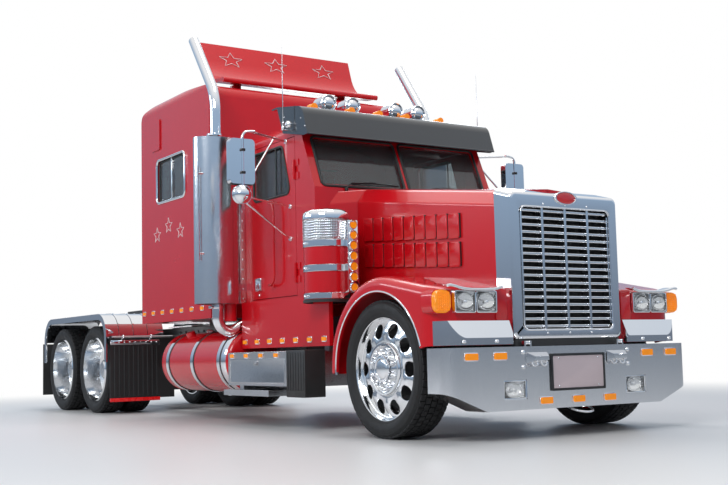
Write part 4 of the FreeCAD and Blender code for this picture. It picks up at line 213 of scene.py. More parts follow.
frame_paint = finish("frame_paint", "frame_black", (0.018, 0.018, 0.019), 0.42, grain=0.0006, fine=120)
dress(frame_paint, "frame", "cross_members", "radiator")
rail_side = 0.432
rail_bolt_x = (-4.75, -4.9, -5.25, -5.4, -6.1, -6.25, -7.3, -7.45, -7.9, -8.05)
rail_bolt_z = (0.785, 0.945)
rail_bolts = [drum((x, rail_side, z), "y", 0.014, 0.012, 0.002, 6) for x in rail_bolt_x for z in rail_bolt_z]
fit("rail_bolts", both(*rail_bolts), frame_paint)

# Engine block, axle beams, springs and knuckles: rough castings and forgings in dark paint with road film,
# bolted and pinned to the frame.
cast_paint = finish("cast_paint", "cast_iron", (0.05, 0.05, 0.052), 0.62, drift=0.3, patch=9, grain=0.0015,
                    fine=70)
dress(cast_paint, "engine", "front_axle", "knuckle_left", "knuckle_right", "tie_rod", "drive_axles",
      "fifth_wheel_base", "fifth_wheel_plate")

# Wheels: forged and polished discs and rims with chrome nut covers. The steered ones have a ring of ten nuts
# under one bright cover, with a raised cap over the hub.
chrome = finish("chrome", "chrome", (0.80, 0.81, 0.83), 0.05, 1.0, drift=0.03, patch=1.5, wear=0.3)
polish = finish("polished_metal", "polished_aluminium", (0.78, 0.79, 0.80), 0.13, 1.0, drift=0.04, patch=4,
                grain=0.0002, fine=260)
dress(polish, "wheels_mid_left", "wheels_mid_right", "wheels_rear_left", "wheels_rear_right")


def trace(points):
    """A line of vertices, extruded from the first point to the last."""
    clear()
    bpy.ops.mesh.primitive_plane_add(size=1, location=(0, 0, 0))
    bpy.ops.object.mode_set(mode="EDIT")
    bpy.ops.mesh.select_all(action="SELECT")
    bpy.ops.mesh.merge(type="CENTER")
    bpy.ops.transform.translate(value=points[0])
    for here, there in zip(points, points[1:]):
        bpy.ops.mesh.extrude_vertices_move(TRANSFORM_OT_translate={"value": Vector(there) - Vector(here)})
    return bpy.context.object


def spun(outline, centre, along="y", steps=64, angle=math.tau, edge=0.0, closed=True, first=0.0):
    """A turned shape: the outline gives radius and distance along the axis, from the centre."""
    run = Vector(axes[along])
    out = Matrix.Rotation(first, 3, run) @ Vector(axes["x" if along != "x" else "y"])
    points = [Vector(centre) + out * radius + run * far for radius, far in outline]
    piece = trace(points + ([points[0]] if closed else []))
    bpy.ops.mesh.select_all(action="SELECT")
    bpy.ops.mesh.spin(steps=steps, angle=angle, center=centre, axis=run)
    bpy.ops.mesh.select_all(action="SELECT")
    bpy.ops.mesh.remove_doubles(threshold=0.00002)
    if angle < math.tau and closed:
        bpy.ops.mesh.select_all(action="DESELECT")
        bpy.ops.mesh.select_non_manifold()
        bpy.ops.mesh.edge_face_add()
    return eased(outward(piece), edge)


def round_about(piece, centre, along, count):
    """Copies of the shape round an axis."""
    take(piece, whole=True)
    bpy.ops.mesh.spin(steps=count - 1, dupli=True, angle=math.tau * (count - 1) / count, center=centre,
                      axis=axes[along])
    clear()
    return piece


def copied(piece):
    """A second piece with its own mesh."""
    take(piece)
    bpy.ops.object.duplicate()
    return bpy.context.object


def other_side(piece, along="y", about=(0, 0, 0)):
    """The same piece mirrored, to the truck's other side unless another axis and centre are given."""
    take(piece)
    bpy.ops.transform.mirror(constraint_axis=[axis == along for axis in axes], center_override=about)
    settle()
    return outward(piece)


def fit_pair(name, piece, made, body, **more):
    """Fits the piece on the left, and its mirrored copy on the right."""
    twin = other_side(copied(piece))
    for side, one in (("right", twin), ("left", piece)):
        fit(f"{name}_{side}", one, made, f"{body}_{side}",
            **{word: value + "_" + side for word, value in more.items()})


hub_height = 0.528
wheel_nuts = 10
nut_ring_radius = 0.143
hub = (0, 0, hub_height)
nut_z = hub_height + nut_ring_radius
nut_tip = spun([(0.0, 0.013), (0.008, 0.011), (0.013, 0.006), (0.0155, 0)], (0, 1.174, nut_z), steps=16,
               closed=False)
steer_nut = joined(drum((0, 1.128, nut_z), "y", 0.019, 0.046, 0.004, 6),
                   drum((0, 1.126, nut_z), "y", 0.027, 0.008, 0.003, 24), nut_tip)
nut_cover = spun([(0.176, 0), (0.176, 0.03), (0.182, 0.038), (0.196, 0.038), (0.206, 0.026), (0.210, 0)],
                 (0, 1.124, hub_height))
cap_rim = spun([(0.100, 0), (0.100, 0.042), (0.096, 0.048), (0.086, 0.050), (0.080, 0.046), (0.080, 0)],
               (0, 1.133, hub_height))
valve_x = 0.30
valve_z = hub_height + 0.10
valve = [drum((valve_x, 1.10, valve_z), "y", 0.006, 0.05, 0.001, 12),
         drum((valve_x, 1.145, valve_z), "y", 0.008, 0.014, 0.001, 8)]
steer_trim = joined(round_about(steer_nut, hub, "y", wheel_nuts), nut_cover, cap_rim, *valve)


def skin(piece, join=0.00002):
    """Merges the doubled points of a skin."""
    take(piece, whole=True)
    bpy.ops.mesh.remove_doubles(threshold=join)
    clear()
    return piece


def lofted(lines):
    """A skin through lines that have the same number of points."""
    piece, count = trace(lines[0]), len(lines[0])
    bpy.ops.mesh.select_all(action="SELECT")
    for line in lines[1:]:
        bpy.ops.mesh.extrude_edges_move(TRANSFORM_OT_translate={"value": (0.001, 0, 0)})
        bpy.ops.object.mode_set(mode="OBJECT")
        for vertex, place in zip(piece.data.vertices[-count:], line):
            vertex.co = place
        bpy.ops.object.mode_set(mode="EDIT")
    return skin(piece)


disc_profile = [(0.162, 1.1335), (0.285, 1.1400), (0.376, 1.1030)]


def disc_side(radius):
    """How far out the steer wheel's face stands at a radius."""
    for (low, low_side), (high, high_side) in zip(disc_profile, disc_profile[1:]):
        if radius <= high:
            break
    return low_side + (high_side - low_side) * (radius - low) / (high - low)


# One tenth of the face runs from the nut cover to the rim, round one hand hole with a rolled edge.
half_tenth = math.radians(18)
hole_place = 0.300
edge_points = 8
face_low, face_high = 0.214, 0.370
hole_edge = ((0.0605, 0.0), (0.0575, 0.0015), (0.0560, 0.005), (0.0560, 0.016))
corners = [(face_low, -1), (face_high, -1), (face_high, 1), (face_low, 1)]
outline = []
for (a, c), (b, d) in zip(corners, [*corners[1:], corners[0]]):
    for n in range(edge_points):
        radius, turn = a + (b - a) * n / edge_points, (c + (d - c) * n / edge_points) * half_tenth
        outline.append(Vector((radius * math.cos(turn), 0, radius * math.sin(turn))))
heading = [math.atan2(p.z, p.x - hole_place) for p in outline]
rings = [(outline, 0.0)]
for radius, sunk in hole_edge:
    rings.append(([Vector((hole_place + radius * math.cos(t), 0, radius * math.sin(t))) for t in heading], sunk))
lines = [[Vector((p.x, disc_side(math.hypot(p.x, p.z)) - sunk, p.z + hub_height)) for p in [*ring, ring[0]]]
         for ring, sunk in rings]
face = outward(skin(round_about(lofted(lines), hub, "y", wheel_nuts), 0.00005))
disc_back = [(0.0, 1.1830), (0.060, 1.1830), (0.072, 1.1790), (0.080, 1.1700), (0.086, 1.1500), (0.095, 1.1400),
             (0.100, 1.1335), (0.162, 1.1335), (face_low, disc_side(face_low))]
disc_rim = [(face_high, disc_side(face_high)), (0.374, 1.1050), (0.379, 1.1120), (0.382, 1.1220),
            (0.3845, 1.1450), (0.388, 1.1530), (0.394, 1.1565), (0.399, 1.1545), (0.401, 1.1480), (0.401, 1.1400)]
barrel = [(0.392, 0.905), (0.380, 0.912), (0.374, 0.930), (0.374, 1.100)]
steer_disc = joined(eased(face, angle=40), *(spun(line, hub, steps=96, closed=False)
                                             for line in (disc_back, disc_rim, barrel)))
fit_pair("steer_disc", steer_disc, polish, "wheel_front", replaced="wheel_front")

# Brakes of the steered wheels: a cast iron drum is bolted to each wheel and turns with it.
# A pressed dust shield stands behind it on the knuckle, and steers with it.
brake_drum = spun([(0.100, 1.100), (0.190, 1.098), (0.203, 1.090), (0.205, 1.080), (0.205, 0.960), (0.198, 0.955),
                   (0.100, 0.955)], hub, closed=False)
fit_pair("brake_drum", brake_drum, cast_paint, "wheel_front")
dust_shield = spun([(0.110, 0.940), (0.345, 0.940), (0.352, 0.944), (0.352, 0.952), (0.345, 0.946),
                    (0.110, 0.946)], hub)
fit_pair("dust_shield", dust_shield, cast_paint, "knuckle")
fit_pair("steer_nuts", steer_trim, chrome, "wheel_front")

# Tyres: black rubber with raised rings on the sidewall. The steer tyres have straight ribs cut by sipes,
# the drive tyres chunky lugs, moulded in rows round the carcass.
rubber = finish("tyre_rubber", "tyre_rubber", (0.016, 0.016, 0.017), 0.62, drift=0.2, patch=14, grain=0.0006,
                fine=240, Specular_IOR_Level=0.35)
bead = 0.3925
crown = 0.512
tread_top = 0.5278
sidewall = [(bead, 0.030), (0.400, 0.024), (0.4045, 0.021), (0.407, 0.0185), (0.411, 0.0185), (0.414, 0.016),
            (0.430, 0.0065), (0.450, 0.0015), (0.4555, 0.0010), (0.4560, 0), (0.4600, 0), (0.4605, 0.0010),
            (0.474, 0.0018), (0.490, 0.006), (0.4910, 0.0045), (0.4955, 0.006), (0.4960, 0.009), (0.506, 0.016),
            (crown, 0.026)]
shoulder = 0.020
lug_edge = 0.0022
edge_groove, edge_drop = 0.016, 0.003
rib_groove, rib_drop = 0.006, 0.0006


def tyre(side, half, rows, pitch, groove):
    """One tyre in the middle of its side distance, with rows of tread blocks round a turned carcass."""
    wall = [(radius, half - inset) for radius, inset in sidewall]
    carcass = spun(wall + [(r, -y) for r, y in reversed(wall)], (0, side, hub_height), steps=96)
    width = (half - shoulder) * 2 / rows
    length = math.tau * tread_top / pitch - groove
    blocks = []
    for row in range(rows):
        middle = side - half + shoulder + width * (row + 0.5)
        depth, drop = (edge_groove, edge_drop) if row in (0, rows - 1) else (rib_groove, rib_drop)
        lug_half = width / 2 - groove * 0.55
        lug = block((-length / 2, middle - lug_half, hub_height + crown - depth),
                    (length / 2, middle + lug_half, hub_height + tread_top - drop), 0)
        modify(lug, "BEVEL", width=lug_edge, segments=1, limit_method="ANGLE", angle_limit=0.6)
        take(lug, whole=True)
        bpy.ops.transform.rotate(value=math.pi / pitch * (row % 2) + 0.01, orient_axis="Y", center_override=hub)
        blocks.append(round_about(lug, hub, "y", pitch))
    return joined(carcass, *blocks)


steer_side, steer_half = 1.030, 0.1575
fit_pair("steer_tyre", tyre(steer_side, steer_half, rows=5, pitch=60, groove=0.007), rubber, "wheel_front",
         replaced="tyre_front")

# Drive wheels: four pairs of twin tyres on deep polished rims, on two axles.
# Ten chrome nuts clamp each pair to its hub.
drive_axle_x = {"mid": -6.24, "rear": -7.44}
drive_side, drive_half, twin_step = 0.745, 0.145, 0.330


def row_of(piece, count, step):
    """The shape in a row, each a step further than the last one."""
    return modify(piece, "ARRAY", count=count, use_relative_offset=False, use_constant_offset=True,
                  constant_offset_displace=step)


drive_tyres = row_of(tyre(drive_side, drive_half, rows=4, pitch=52, groove=0.010), 2, (0, twin_step, 0))
drive_nut = joined(drum((0, 0.915, nut_z), "y", 0.018, 0.040, 0.004, 6),
                   drum((0, 0.912, nut_z), "y", 0.025, 0.008, 0.003, 24))
drive_nuts = round_about(drive_nut, hub, "y", wheel_nuts)
for row, x in drive_axle_x.items():
    fit_pair(f"drive_tyres_{row}", placed(copied(drive_tyres), (x, 0, 0)), rubber, f"wheels_{row}",
             replaced=f"tyres_{row}")
    fit_pair(f"drive_nuts_{row}", placed(copied(drive_nuts), (x, 0, 0)), chrome, f"wheels_{row}")


def thrown_away(*patterns):
    """The patterns that only served to be copied are deleted."""
    for piece in patterns:
        take(piece)
        bpy.ops.object.delete()


thrown_away(drive_tyres, drive_nuts)

# Cab, sleeper, hood, fenders, doors, skirts, tanks and wing: pressed steel and moulded fibreglass,
# riveted and bonded, in deep gloss red.
red_paint = finish("red_paint", "red_paint", (0.56, 0.004, 0.010), 0.24, drift=0.05, patch=1.2, grain=0.00004,
                   fine=900, Coat_Weight=0.6, Coat_Roughness=0.03, Specular_IOR_Level=0.3)
dress(red_paint, "cab", "door_left", "door_right", "cab_skirts", "sleeper", "hood_panel", "front_fenders",
      "fuel_tanks", "wing", "air_cleaners")

# Bright parts that keep the shape they have: chromed steel, a brushed bumper,
# and step boxes and a deck of plain steel, bolted on.
dress(chrome, "tow_hooks", "mirror_left", "mirror_right", "roof_lamps", "exhaust_stacks", "tank_straps", "grille",
      "rear_fenders", "fender_plates")
brushed = finish("brushed_chrome", "chrome", (0.74, 0.74, 0.75), 0.16, 1.0, drift=0.05, patch=2, grain=0.0003,
                 fine=30, stretch=(9, 9, 0.5))
dress(brushed, "bumper")
steel = finish("brushed_steel", "brushed_steel", (0.50, 0.50, 0.51), 0.30, 1.0, drift=0.08, patch=4, grain=0.0005,
               fine=40, stretch=(1, 1, 14))
dress(steel, "step_boxes", "deck")

# Rubber flaps and cab mounts, the dark visor, tinted windows set in rubber, lamp lenses
# and the moulded dashboard.
flap_rubber = finish("flap_rubber", "flap_rubber", (0.020, 0.020, 0.021), 0.55, drift=0.25, patch=10,
                     grain=0.0008, fine=160)
dress(flap_rubber, "cab_mounts", "mud_flaps")
visor_gloss = finish("visor_gloss", "visor_black", (0.012, 0.016, 0.022), 0.12, drift=0.1, patch=2,
                     grain=0.00003, fine=700, Coat_Weight=0.8, Coat_Roughness=0.04)
dress(visor_gloss, "visor")
glass = finish("tinted_glass", "glass", (0.42, 0.47, 0.49), 0.02, drift=0.04, patch=2, Transmission_Weight=0.92,
               IOR=1.45)
dress(glass, "windshield", "door_glass_left", "door_glass_right", "sleeper_windows")
clear_glass = finish("lamp_glass", "lamp_glass", (0.92, 0.93, 0.93), 0.03, drift=0.02, patch=3,
                     Transmission_Weight=0.95, IOR=1.3)
amber = finish("amber_lens", "amber", (0.95, 0.30, 0.008), 0.16, drift=0.15, patch=30, grain=0.0012, fine=110,
               Transmission_Weight=0.2, Emission_Color=(1.0, 0.32, 0.01, 1), Emission_Strength=0.25)
dress(amber, "marker_lamps")
plastic = finish("dash_plastic", "dash_plastic", (0.030, 0.030, 0.032), 0.50, drift=0.15, patch=8, grain=0.0008,
                 fine=420)
dress(plastic, "dashboard")

# Bumper: a deep brushed plate, held by dome bolts. A blank number plate of painted sheet
# is screwed to it in a black frame.
dome = [(0.0, 0.012), (0.006, 0.0115), (0.011, 0.009), (0.0145, 0.005), (0.0155, 0.0), (0.0165, 0.0),
        (0.0165, -0.002)]


def dome_bolt(place, along, size=1.0):
    """A round-headed bolt that looks along its axis."""
    return spun([(r * size, h * size) for r, h in dome], place, along, steps=16, closed=False)


def choose(piece, kind, wanted):
    """Selects the faces or edges that the test wants, and leaves the piece in edit mode."""
    take(piece)
    bpy.context.tool_settings.mesh_select_mode = (False, kind == "edge", kind == "face")
    mesh = piece.data
    for things in (mesh.vertices, mesh.edges, mesh.polygons):
        for thing in things:
            thing.select = False
    for thing in mesh.polygons if kind == "face" else mesh.edges:
        thing.select = bool(wanted(thing, mesh))
    bpy.ops.object.mode_set(mode="EDIT")


def slab(low, high, along, corner, edge=0.002, rim=None, depth=0.0, facing=1, steps=6):
    """A block with its edges along one axis rounded, and a pocket in the face that looks that way if it has a rim."""
    piece, way = cuboid(low, high), Vector(axes[along])
    choose(piece, "edge", lambda e, m: abs((m.vertices[e.vertices[0]].co
                                            - m.vertices[e.vertices[1]].co).normalized().dot(way)) > 0.9)
    bpy.ops.mesh.bevel(offset=corner, segments=steps, affect="EDGES")
    if rim is not None:
        choose(piece, "face", lambda f, m: f.normal.dot(way) * facing > 0.9)
        bpy.ops.mesh.inset(thickness=rim, depth=0)
        bpy.ops.mesh.extrude_region_move(TRANSFORM_OT_translate={"value": -way * facing * depth})
    clear()
    return eased(piece, edge)


bumper_face, bumper_bolt_y, bumper_bolt_z = 0.887, 0.532, (0.632, 0.524)
fit("bumper_bolts", both(*(dome_bolt((bumper_face, bumper_bolt_y, z), "x", 1.15) for z in bumper_bolt_z)), chrome)
plate_paint = finish("plate_paint", None, (0.60, 0.50, 0.53), 0.35, drift=0.03, patch=5, grain=0.0001, fine=300)
plate_back, plate_face = 0.889, 0.8985
plate_half, plate_low, plate_high = 0.254, 0.361, 0.599
frame_wide, frame_back, frame_front = 0.018, 0.888, 0.902
plate_frame = slab((frame_back, -plate_half - frame_wide, plate_low - frame_wide),
                   (frame_front, plate_half + frame_wide, plate_high + frame_wide), "x", 0.012,
                   rim=0.016, depth=0.006)
fit("plate_frame", plate_frame, frame_paint)
fit("number_plate", slab((plate_back, -plate_half, plate_low), (plate_face, plate_half, plate_high), "x", 0.010,
                         0.0015), plate_paint)
plate_screws = joined(*(dome_bolt((plate_face, y, z), "x", 0.45) for y in (-0.20, 0.20) for z in (0.377, 0.583)))
fit("plate_screws", plate_screws, chrome)

# Towing eye: a ring of bright round steel bar, bent and welded,
# that hangs under the bumper's lower edge.
clear()
bpy.ops.mesh.primitive_torus_add(major_radius=0.10, minor_radius=0.009, major_segments=48, minor_segments=12,
                                 location=(0.80, 0.09, 0.205), rotation=(0, 0.3, 0))
fit("towing_eye", eased(settle()), chrome)

# Headlights: a bright frame round two clear lenses, each over its own bowl, in a dark shell on the fender's nose.
# Each bowl is pressed of one sheet, with a cap over its bulb and short ribs at its sides.
bowl = [(0.006, 0.0), (0.020, 0.002), (0.036, 0.010), (0.048, 0.022), (0.055, 0.036), (0.0555, 0.040),
        (0.058, 0.040), (0.058, 0.034), (0.050, 0.018), (0.036, 0.004), (0.006, -0.004)]
bulb_cap = [(0.0, 0.034), (0.008, 0.033), (0.013, 0.029), (0.014, 0.022), (0.013, 0.010), (0.009, 0.004),
            (0.0, 0.004)]
bowl_wide = 0.116
lamp_low, lamp_high, lamp_gap = 0.922, 1.084, 0.010
lamp_halves = ((0.698, 0.889), (0.893, 1.084))
rib_y, rib_wide, rib_thick = (0.704, 0.854, 0.899, 1.050), 0.026, 0.004
rib_z = (0.940, 0.962, 0.984, 1.006, 1.028, 1.050, 1.068)


def reflector(place, wide, high, depth=1.0):
    """A pressed bright bowl, opened out to a rectangle's width and height, with a cap over its bulb."""
    dish = placed(spun(bowl, (0, 0, 0), "x", steps=40), place, size=(depth, wide / bowl_wide, high / bowl_wide))
    return joined(dish, spun(bulb_cap, place, "x", steps=20, closed=False))


frame_bars = [slab((0.770, inner, lamp_low), (0.816, outer, lamp_high), "x", 0.016, 0.0015, rim=0.009, depth=0.030)
              for inner, outer in lamp_halves]
bowls = [reflector((0.787, (inner + outer) / 2, (lamp_low + lamp_high) / 2), 0.162, 0.136, 0.55)
         for inner, outer in lamp_halves]
ribs = [block((0.784, y, z), (0.804, y + rib_wide, z + rib_thick), 0.001) for y in rib_y for z in rib_z]
lenses = [slab((0.809, inner + lamp_gap, lamp_low + lamp_gap), (0.8135, outer - lamp_gap, lamp_high - lamp_gap),
               "x", 0.010, 0.001) for inner, outer in lamp_halves]
fit("headlight_shells", both(*frame_bars, *bowls, *ribs), chrome, "hood", replaced="headlights")
fit("headlight_lenses", both(*lenses), clear_glass, "hood")

# Eyebrows: bright pressed strips over the headlights, waved along their length and curled up at the ends,
# with a rolled front edge.
brow_rear, brow_front = 0.744, 0.846
brow_thick, brow_rise = 0.005, 0.010
roll_radius, roll_rise = 0.011, 0.002
brow_wave = [(0.672, 1.112), (0.690, 1.103), (0.720, 1.094), (0.760, 1.089), (0.850, 1.087), (0.960, 1.087),
             (1.020, 1.091), (1.070, 1.100), (1.110, 1.111), (1.145, 1.116), (1.170, 1.111)]


def sheet_strip(low_line, high_line, thick):
    """A thin bent strip between two lines of points, with its wall upwards."""
    piece = lofted([low_line, high_line])
    take(piece, whole=True)
    bpy.ops.mesh.extrude_region_move(TRANSFORM_OT_translate={"value": (0, 0, thick)})
    return outward(piece)


def tube(points, radius, closed=False, sides=3):
    """A bent round bar along a line of points."""
    clear()
    bpy.ops.curve.primitive_bezier_curve_add()
    bar = bpy.context.object
    bar.data.splines.clear()
    line = bar.data.splines.new("POLY")
    line.points.add(len(points) - 1)
    for point, place in zip(line.points, points):
        point.co = (*place, 1)
    line.use_cyclic_u = closed
    bar.data.dimensions = "3D"
    bar.data.bevel_depth, bar.data.bevel_resolution, bar.data.use_fill_caps = radius, sides, True
    bpy.ops.object.convert(target="MESH")
    bpy.ops.object.shade_smooth()
    return bpy.context.object


brow = sheet_strip([(brow_rear, y, z + brow_rise) for y, z in brow_wave], [(brow_front, y, z) for y, z in brow_wave],
                   brow_thick)
modify(brow, "SUBSURF", levels=1, render_levels=1)
rolled_edge = tube([(brow_front, y, z + roll_rise) for y, z in brow_wave], roll_radius)
fit("lamp_eyebrows", both(eased(brow, angle=60), rolled_edge), chrome, "hood")

# Mounting blocks: red mouldings, screwed between the headlights and the grille surround,
# that carry the lamps' inner ends.
lamp_block = slab((0.700, 0.585, 0.868), (0.792, 0.692, 1.100), "x", 0.014, 0.004)
fit("lamp_blocks", both(lamp_block), red_paint, "hood")

# Fender lips: a bright rolled bead of stainless sheet, clipped round each wheel arch
# from its foot behind the bumper to the skirt.
lip_low, lip_high = math.radians(-184.2), math.radians(-16.2)
lip = spun([(0.584, 1.200), (0.584, 1.219), (0.587, 1.2245), (0.592, 1.2265), (0.597, 1.2245), (0.600, 1.2190),
            (0.600, 1.2110)], hub, steps=72, angle=lip_high - lip_low, first=lip_high)
fit("fender_lips", both(lip), chrome, "hood")

# Splash plates: bright bent plates between the fenders and the bumper,
# each held by two oval-headed bolts.
splash_face, splash_z, splash_y = 0.856, 0.716, (0.745, 1.045)
squash, splash_middle = (0.8, 1.0, 0.75), (splash_face, sum(splash_y) / 2, splash_z)
splash_bolts = joined(*(dome_bolt((splash_face, y, splash_z), "x", 1.2) for y in splash_y))
placed(splash_bolts, [at * (1 - part) for at, part in zip(splash_middle, squash)], size=squash)
fit("splash_bolts", both(splash_bolts), chrome, "hood")

# Plaque: a bare oval in red enamel, pressed with a bright rim
# and riveted to the crown of the grille surround.
enamel = finish("red_enamel", "red_paint", (0.62, 0.012, 0.014), 0.12, drift=0.04, patch=20, grain=0.00005,
                fine=400, Coat_Weight=1.0, Coat_Roughness=0.02)
plaque = spun([(0.0, 0.009), (0.030, 0.0086), (0.052, 0.0072), (0.060, 0.004), (0.061, 0.0), (0.0, 0.0)],
              (0, 0, 0), "x", steps=56, closed=False)
plaque_place, oval = (0.8255, 0.004, 1.797), (1, 1.62, 0.72)
plaque_rim = spun([(0.060, 0.0), (0.060, 0.009), (0.063, 0.0125), (0.068, 0.0125), (0.071, 0.009), (0.072, 0.0)],
                  (0, 0, 0), "x", steps=56)
for name, piece, made in (("plaque", plaque, enamel), ("plaque_rim", plaque_rim, chrome)):
    fit(name, placed(piece, plaque_place, size=oval), made, "hood")

# Grille surround: a deep bright frame, pressed with soft edges, on two bored hinge eyes under its lower edge.
# A bead and six screws trim its face.
face_x, bar_y = 0.826, (-0.225, 0.0, 0.225)
bead_corners = [(face_x, y, z) for y, z in ((-0.452, 0.795), (0.452, 0.795), (0.452, 1.718), (-0.452, 1.718))]


def rounded_loop(corners, radius, steps=6):
    """A closed line of points round the corners, each turned with the radius."""
    line = []
    for before, here, after in zip([corners[-1], *corners[:-1]], corners, [*corners[1:], corners[0]]):
        here = Vector(here)
        into, out = (Vector(before) - here).normalized(), (Vector(after) - here).normalized()
        half = into.angle(out) / 2
        centre = here + (into + out).normalized() * radius / math.sin(half)
        first, last = ((here + way * radius / math.tan(half) - centre).normalized() for way in (into, out))
        line += [centre + first.slerp(last, step / steps) * radius for step in range(steps + 1)]
    return line


def ring_round(corners, radius, thick, steps=6):
    """A round bar bent into a closed loop."""
    return tube(rounded_loop(corners, radius, steps), thick, closed=True)


fit("grille_bead", ring_round(bead_corners, 0.045, 0.007), chrome, "hood")
fit("surround_screws", joined(*(dome_bolt((face_x, y, z), "x", 0.5) for y in bar_y for z in (0.772, 1.742))),
    chrome, "hood")
shell_half, shell_low, shell_top = 0.550, 0.724, 1.8296
shell_front, shell_ease, ease_steps, shell_corner = face_x - 0.001, 0.024, 6, 0.048
sections = [(0.640, 0.0, shell_half, shell_low, 1.874),
            (shell_front - shell_ease, 0.0, shell_half, shell_low, shell_top)]
for step in range(1, ease_steps + 1):
    turn = math.pi / 2 / ease_steps * step
    sections.append((shell_front - shell_ease * (1 - math.sin(turn)), shell_ease * (1 - math.cos(turn)),
                     shell_half, shell_low, shell_top - 0.001 * step))
sections += [(shell_front, 0.0, 0.471, 0.789, 1.724), (0.8235, 0.0, 0.467, 0.793, 1.720),
             (0.820, 0.0, 0.465, 0.795, 1.718), (0.780, 0.0, 0.465, 0.795, 1.718)]
loops = []
for x, inset, half, low, top in sections:
    left, right, bottom, upper = half - inset, inset - half, low + inset, top - inset
    loop = rounded_loop([(x, right, bottom), (x, left, bottom), (x, left, upper), (x, right, upper)],
                        shell_corner - inset * 0.6, 7)
    loops.append([*loop, loop[0]])
surround = modify(eased(outward(lofted(loops)), angle=50), "WEIGHTED_NORMAL", keep_sharp=True)
eye_ring = [(0.0132, -0.020), (0.0150, -0.020), (0.0150, 0.020), (0.0132, 0.020)]
eye_y, lug_half, eyes = (-0.470, 0.470), 0.018, []
for y in eye_y:
    eyes += [spun(eye_ring, (0.860, y, 0.700), steps=28),
             block((0.785, y - lug_half, 0.703), (0.847, y + lug_half, 0.713)),
             block((0.785, y - lug_half, 0.705), (0.812, y + lug_half, 0.727))]
fit("surround_frame", joined(surround, *eyes), chrome, "hood", replaced="grille_surround")
round_x, round_radius, round_y = 0.8125, 0.0125, (-0.2325, 0.0, 0.2325)
round_bars = [tube([(round_x, y, 0.800), (round_x, y, 1.713)], round_radius) for y in round_y]
fit("grille_rounds", joined(*round_bars), chrome, "hood")

# Behind the slats: a black insect screen of wire mesh with upright folds.
# A black rubber seal closes the gap under the surround; its black also serves as painted shade for the shadow in that
# gap.
fold_count, fold_pitch = 72, 0.014
fold = row_of(block((0.7335, -0.500, 0.772), (0.7395, -0.493, 1.775), 0.0), fold_count, (0, fold_pitch, 0))
insect_screen = joined(block((0.7300, -0.505, 0.768), (0.7345, 0.505, 1.778), 0.0), fold)
fit("insect_screen", insect_screen, flap_rubber, "hood", "visor_black")
# The seal is partly painted shade: black where the gap under the surround lies in shadow.
fit("surround_seal_and_shade", slab((0.650, -0.545, 0.6765), (0.818, 0.545, 0.726), "z", 0.040, 0.004), flap_rubber, "hood")

# Fog lamps: in each bumper opening, a bright frame round a pressed bowl with a bulb cap,
# behind a clear lens with ribs at its sides.
fog_frame = slab((0.835, 0.504, 0.295), (0.880, 0.722, 0.433), "x", 0.010, 0.0015, rim=0.010, depth=0.035)
fog_bowl = reflector((0.838, 0.613, 0.364), 0.150, 0.116, 0.75)
fog_rib_y, fog_rib_z = (0.514, 0.692), (0.306, 0.325, 0.344, 0.363, 0.382, 0.401, 0.419)
fog_ribs = [block((0.846, y, z), (0.862, y + 0.020, z + 0.005), 0.001) for y in fog_rib_y for z in fog_rib_z]
fit("fog_shells", both(fog_frame, fog_bowl, *fog_ribs), chrome, replaced="fog_lamps")
fit("fog_lenses", both(slab((0.872, 0.514, 0.305), (0.877, 0.712, 0.423), "x", 0.008, 0.001)), clear_glass)

# Turn lamps: amber lenses with a waffle of small squares, moulded on their faces, on the fender's corners.
# Each is screwed over a red foot.
waffle_across, waffle_up = 0.0178, 0.0172
turn_lens = slab((0.728, 1.096, 0.922), (0.795, 1.240, 1.088), "x", 0.056, 0.016)
waffle = row_of(row_of(block((0.793, 1.116, 0.939), (0.7975, 1.129, 0.952), 0.0015), 6, (0, waffle_across, 0)),
                8, (0, 0, waffle_up))
fit("turn_lenses", both(turn_lens, waffle), amber, "hood", replaced="turn_lamps")
fit("turn_feet", both(slab((0.622, 1.090, 0.920), (0.748, 1.243, 1.092), "x", 0.050, 0.004)), red_paint, "hood")

# Louvres: two rows of nine pressed panels on each side of the hood, each with an opening at its front edge, filled
# with a black strip as painted shade.
# The rows follow the hood's side, which narrows and falls towards the nose.
field_rear, field_front, louvres, row_rise = -1.035, 0.256, 9, 0.225
hood_narrows, hood_run, hood_rear, hood_side = 0.070, 1.777, -1.137, 0.620
panels, shade_strips = [], []
for row in (0, 1):
    for n in range(louvres):
        middle = field_rear + n * (field_front - field_rear) / louvres + 0.067
        low = 1.390 - 0.095 * n / louvres + row_rise * row
        spot = (middle, hood_side - hood_narrows * (middle - hood_rear) / hood_run, low + 0.0975)
        turn = (0, 0, -math.atan2(hood_narrows, hood_run))
        panel = slab((-0.064, -0.005, -0.0985), (0.060, 0.0195, 0.0985), "y", 0.006, 0.005, steps=2)
        # A black block in each opening is painted shade, where the opening lies in shadow.
        shade_strip = block((0.058, -0.005, -0.0955), (0.0705, 0.0165, 0.0955), 0.0)
        panels.append(placed(panel, spot, turn))
        shade_strips.append(placed(shade_strip, spot, turn))
fit("louvre_panels", both(*panels), red_paint, "hood")
fit("louvre_shade_strips", both(*shade_strips), flap_rubber, "hood", "visor_black")

# Air cleaners: red steel drums, each on a rubber foot.
# A bright cap, bands and a perforated screen are clamped round each one.
cleaner_x, cleaner_y, cleaner_r = -1.030, -1.020, 0.195
cleaner = (cleaner_x, cleaner_y, 0)
band_z = ((1.553, 1.607), (1.344, 1.398), (1.112, 1.160))


def band(low, high, proud=0.004, bead=0.006):
    """A bright band with a rolled bead at each edge, round the drum."""
    r, under = cleaner_r + proud, cleaner_r - 0.002
    crest, rise = r + bead * 0.8, r + bead * 0.5
    return spun([(under, low), (rise, low + 0.001), (crest, low + bead * 0.5), (r, low + bead), (r, high - bead),
                 (crest, high - bead * 0.5), (rise, high - 0.001), (under, high)], cleaner, "z", steps=72)


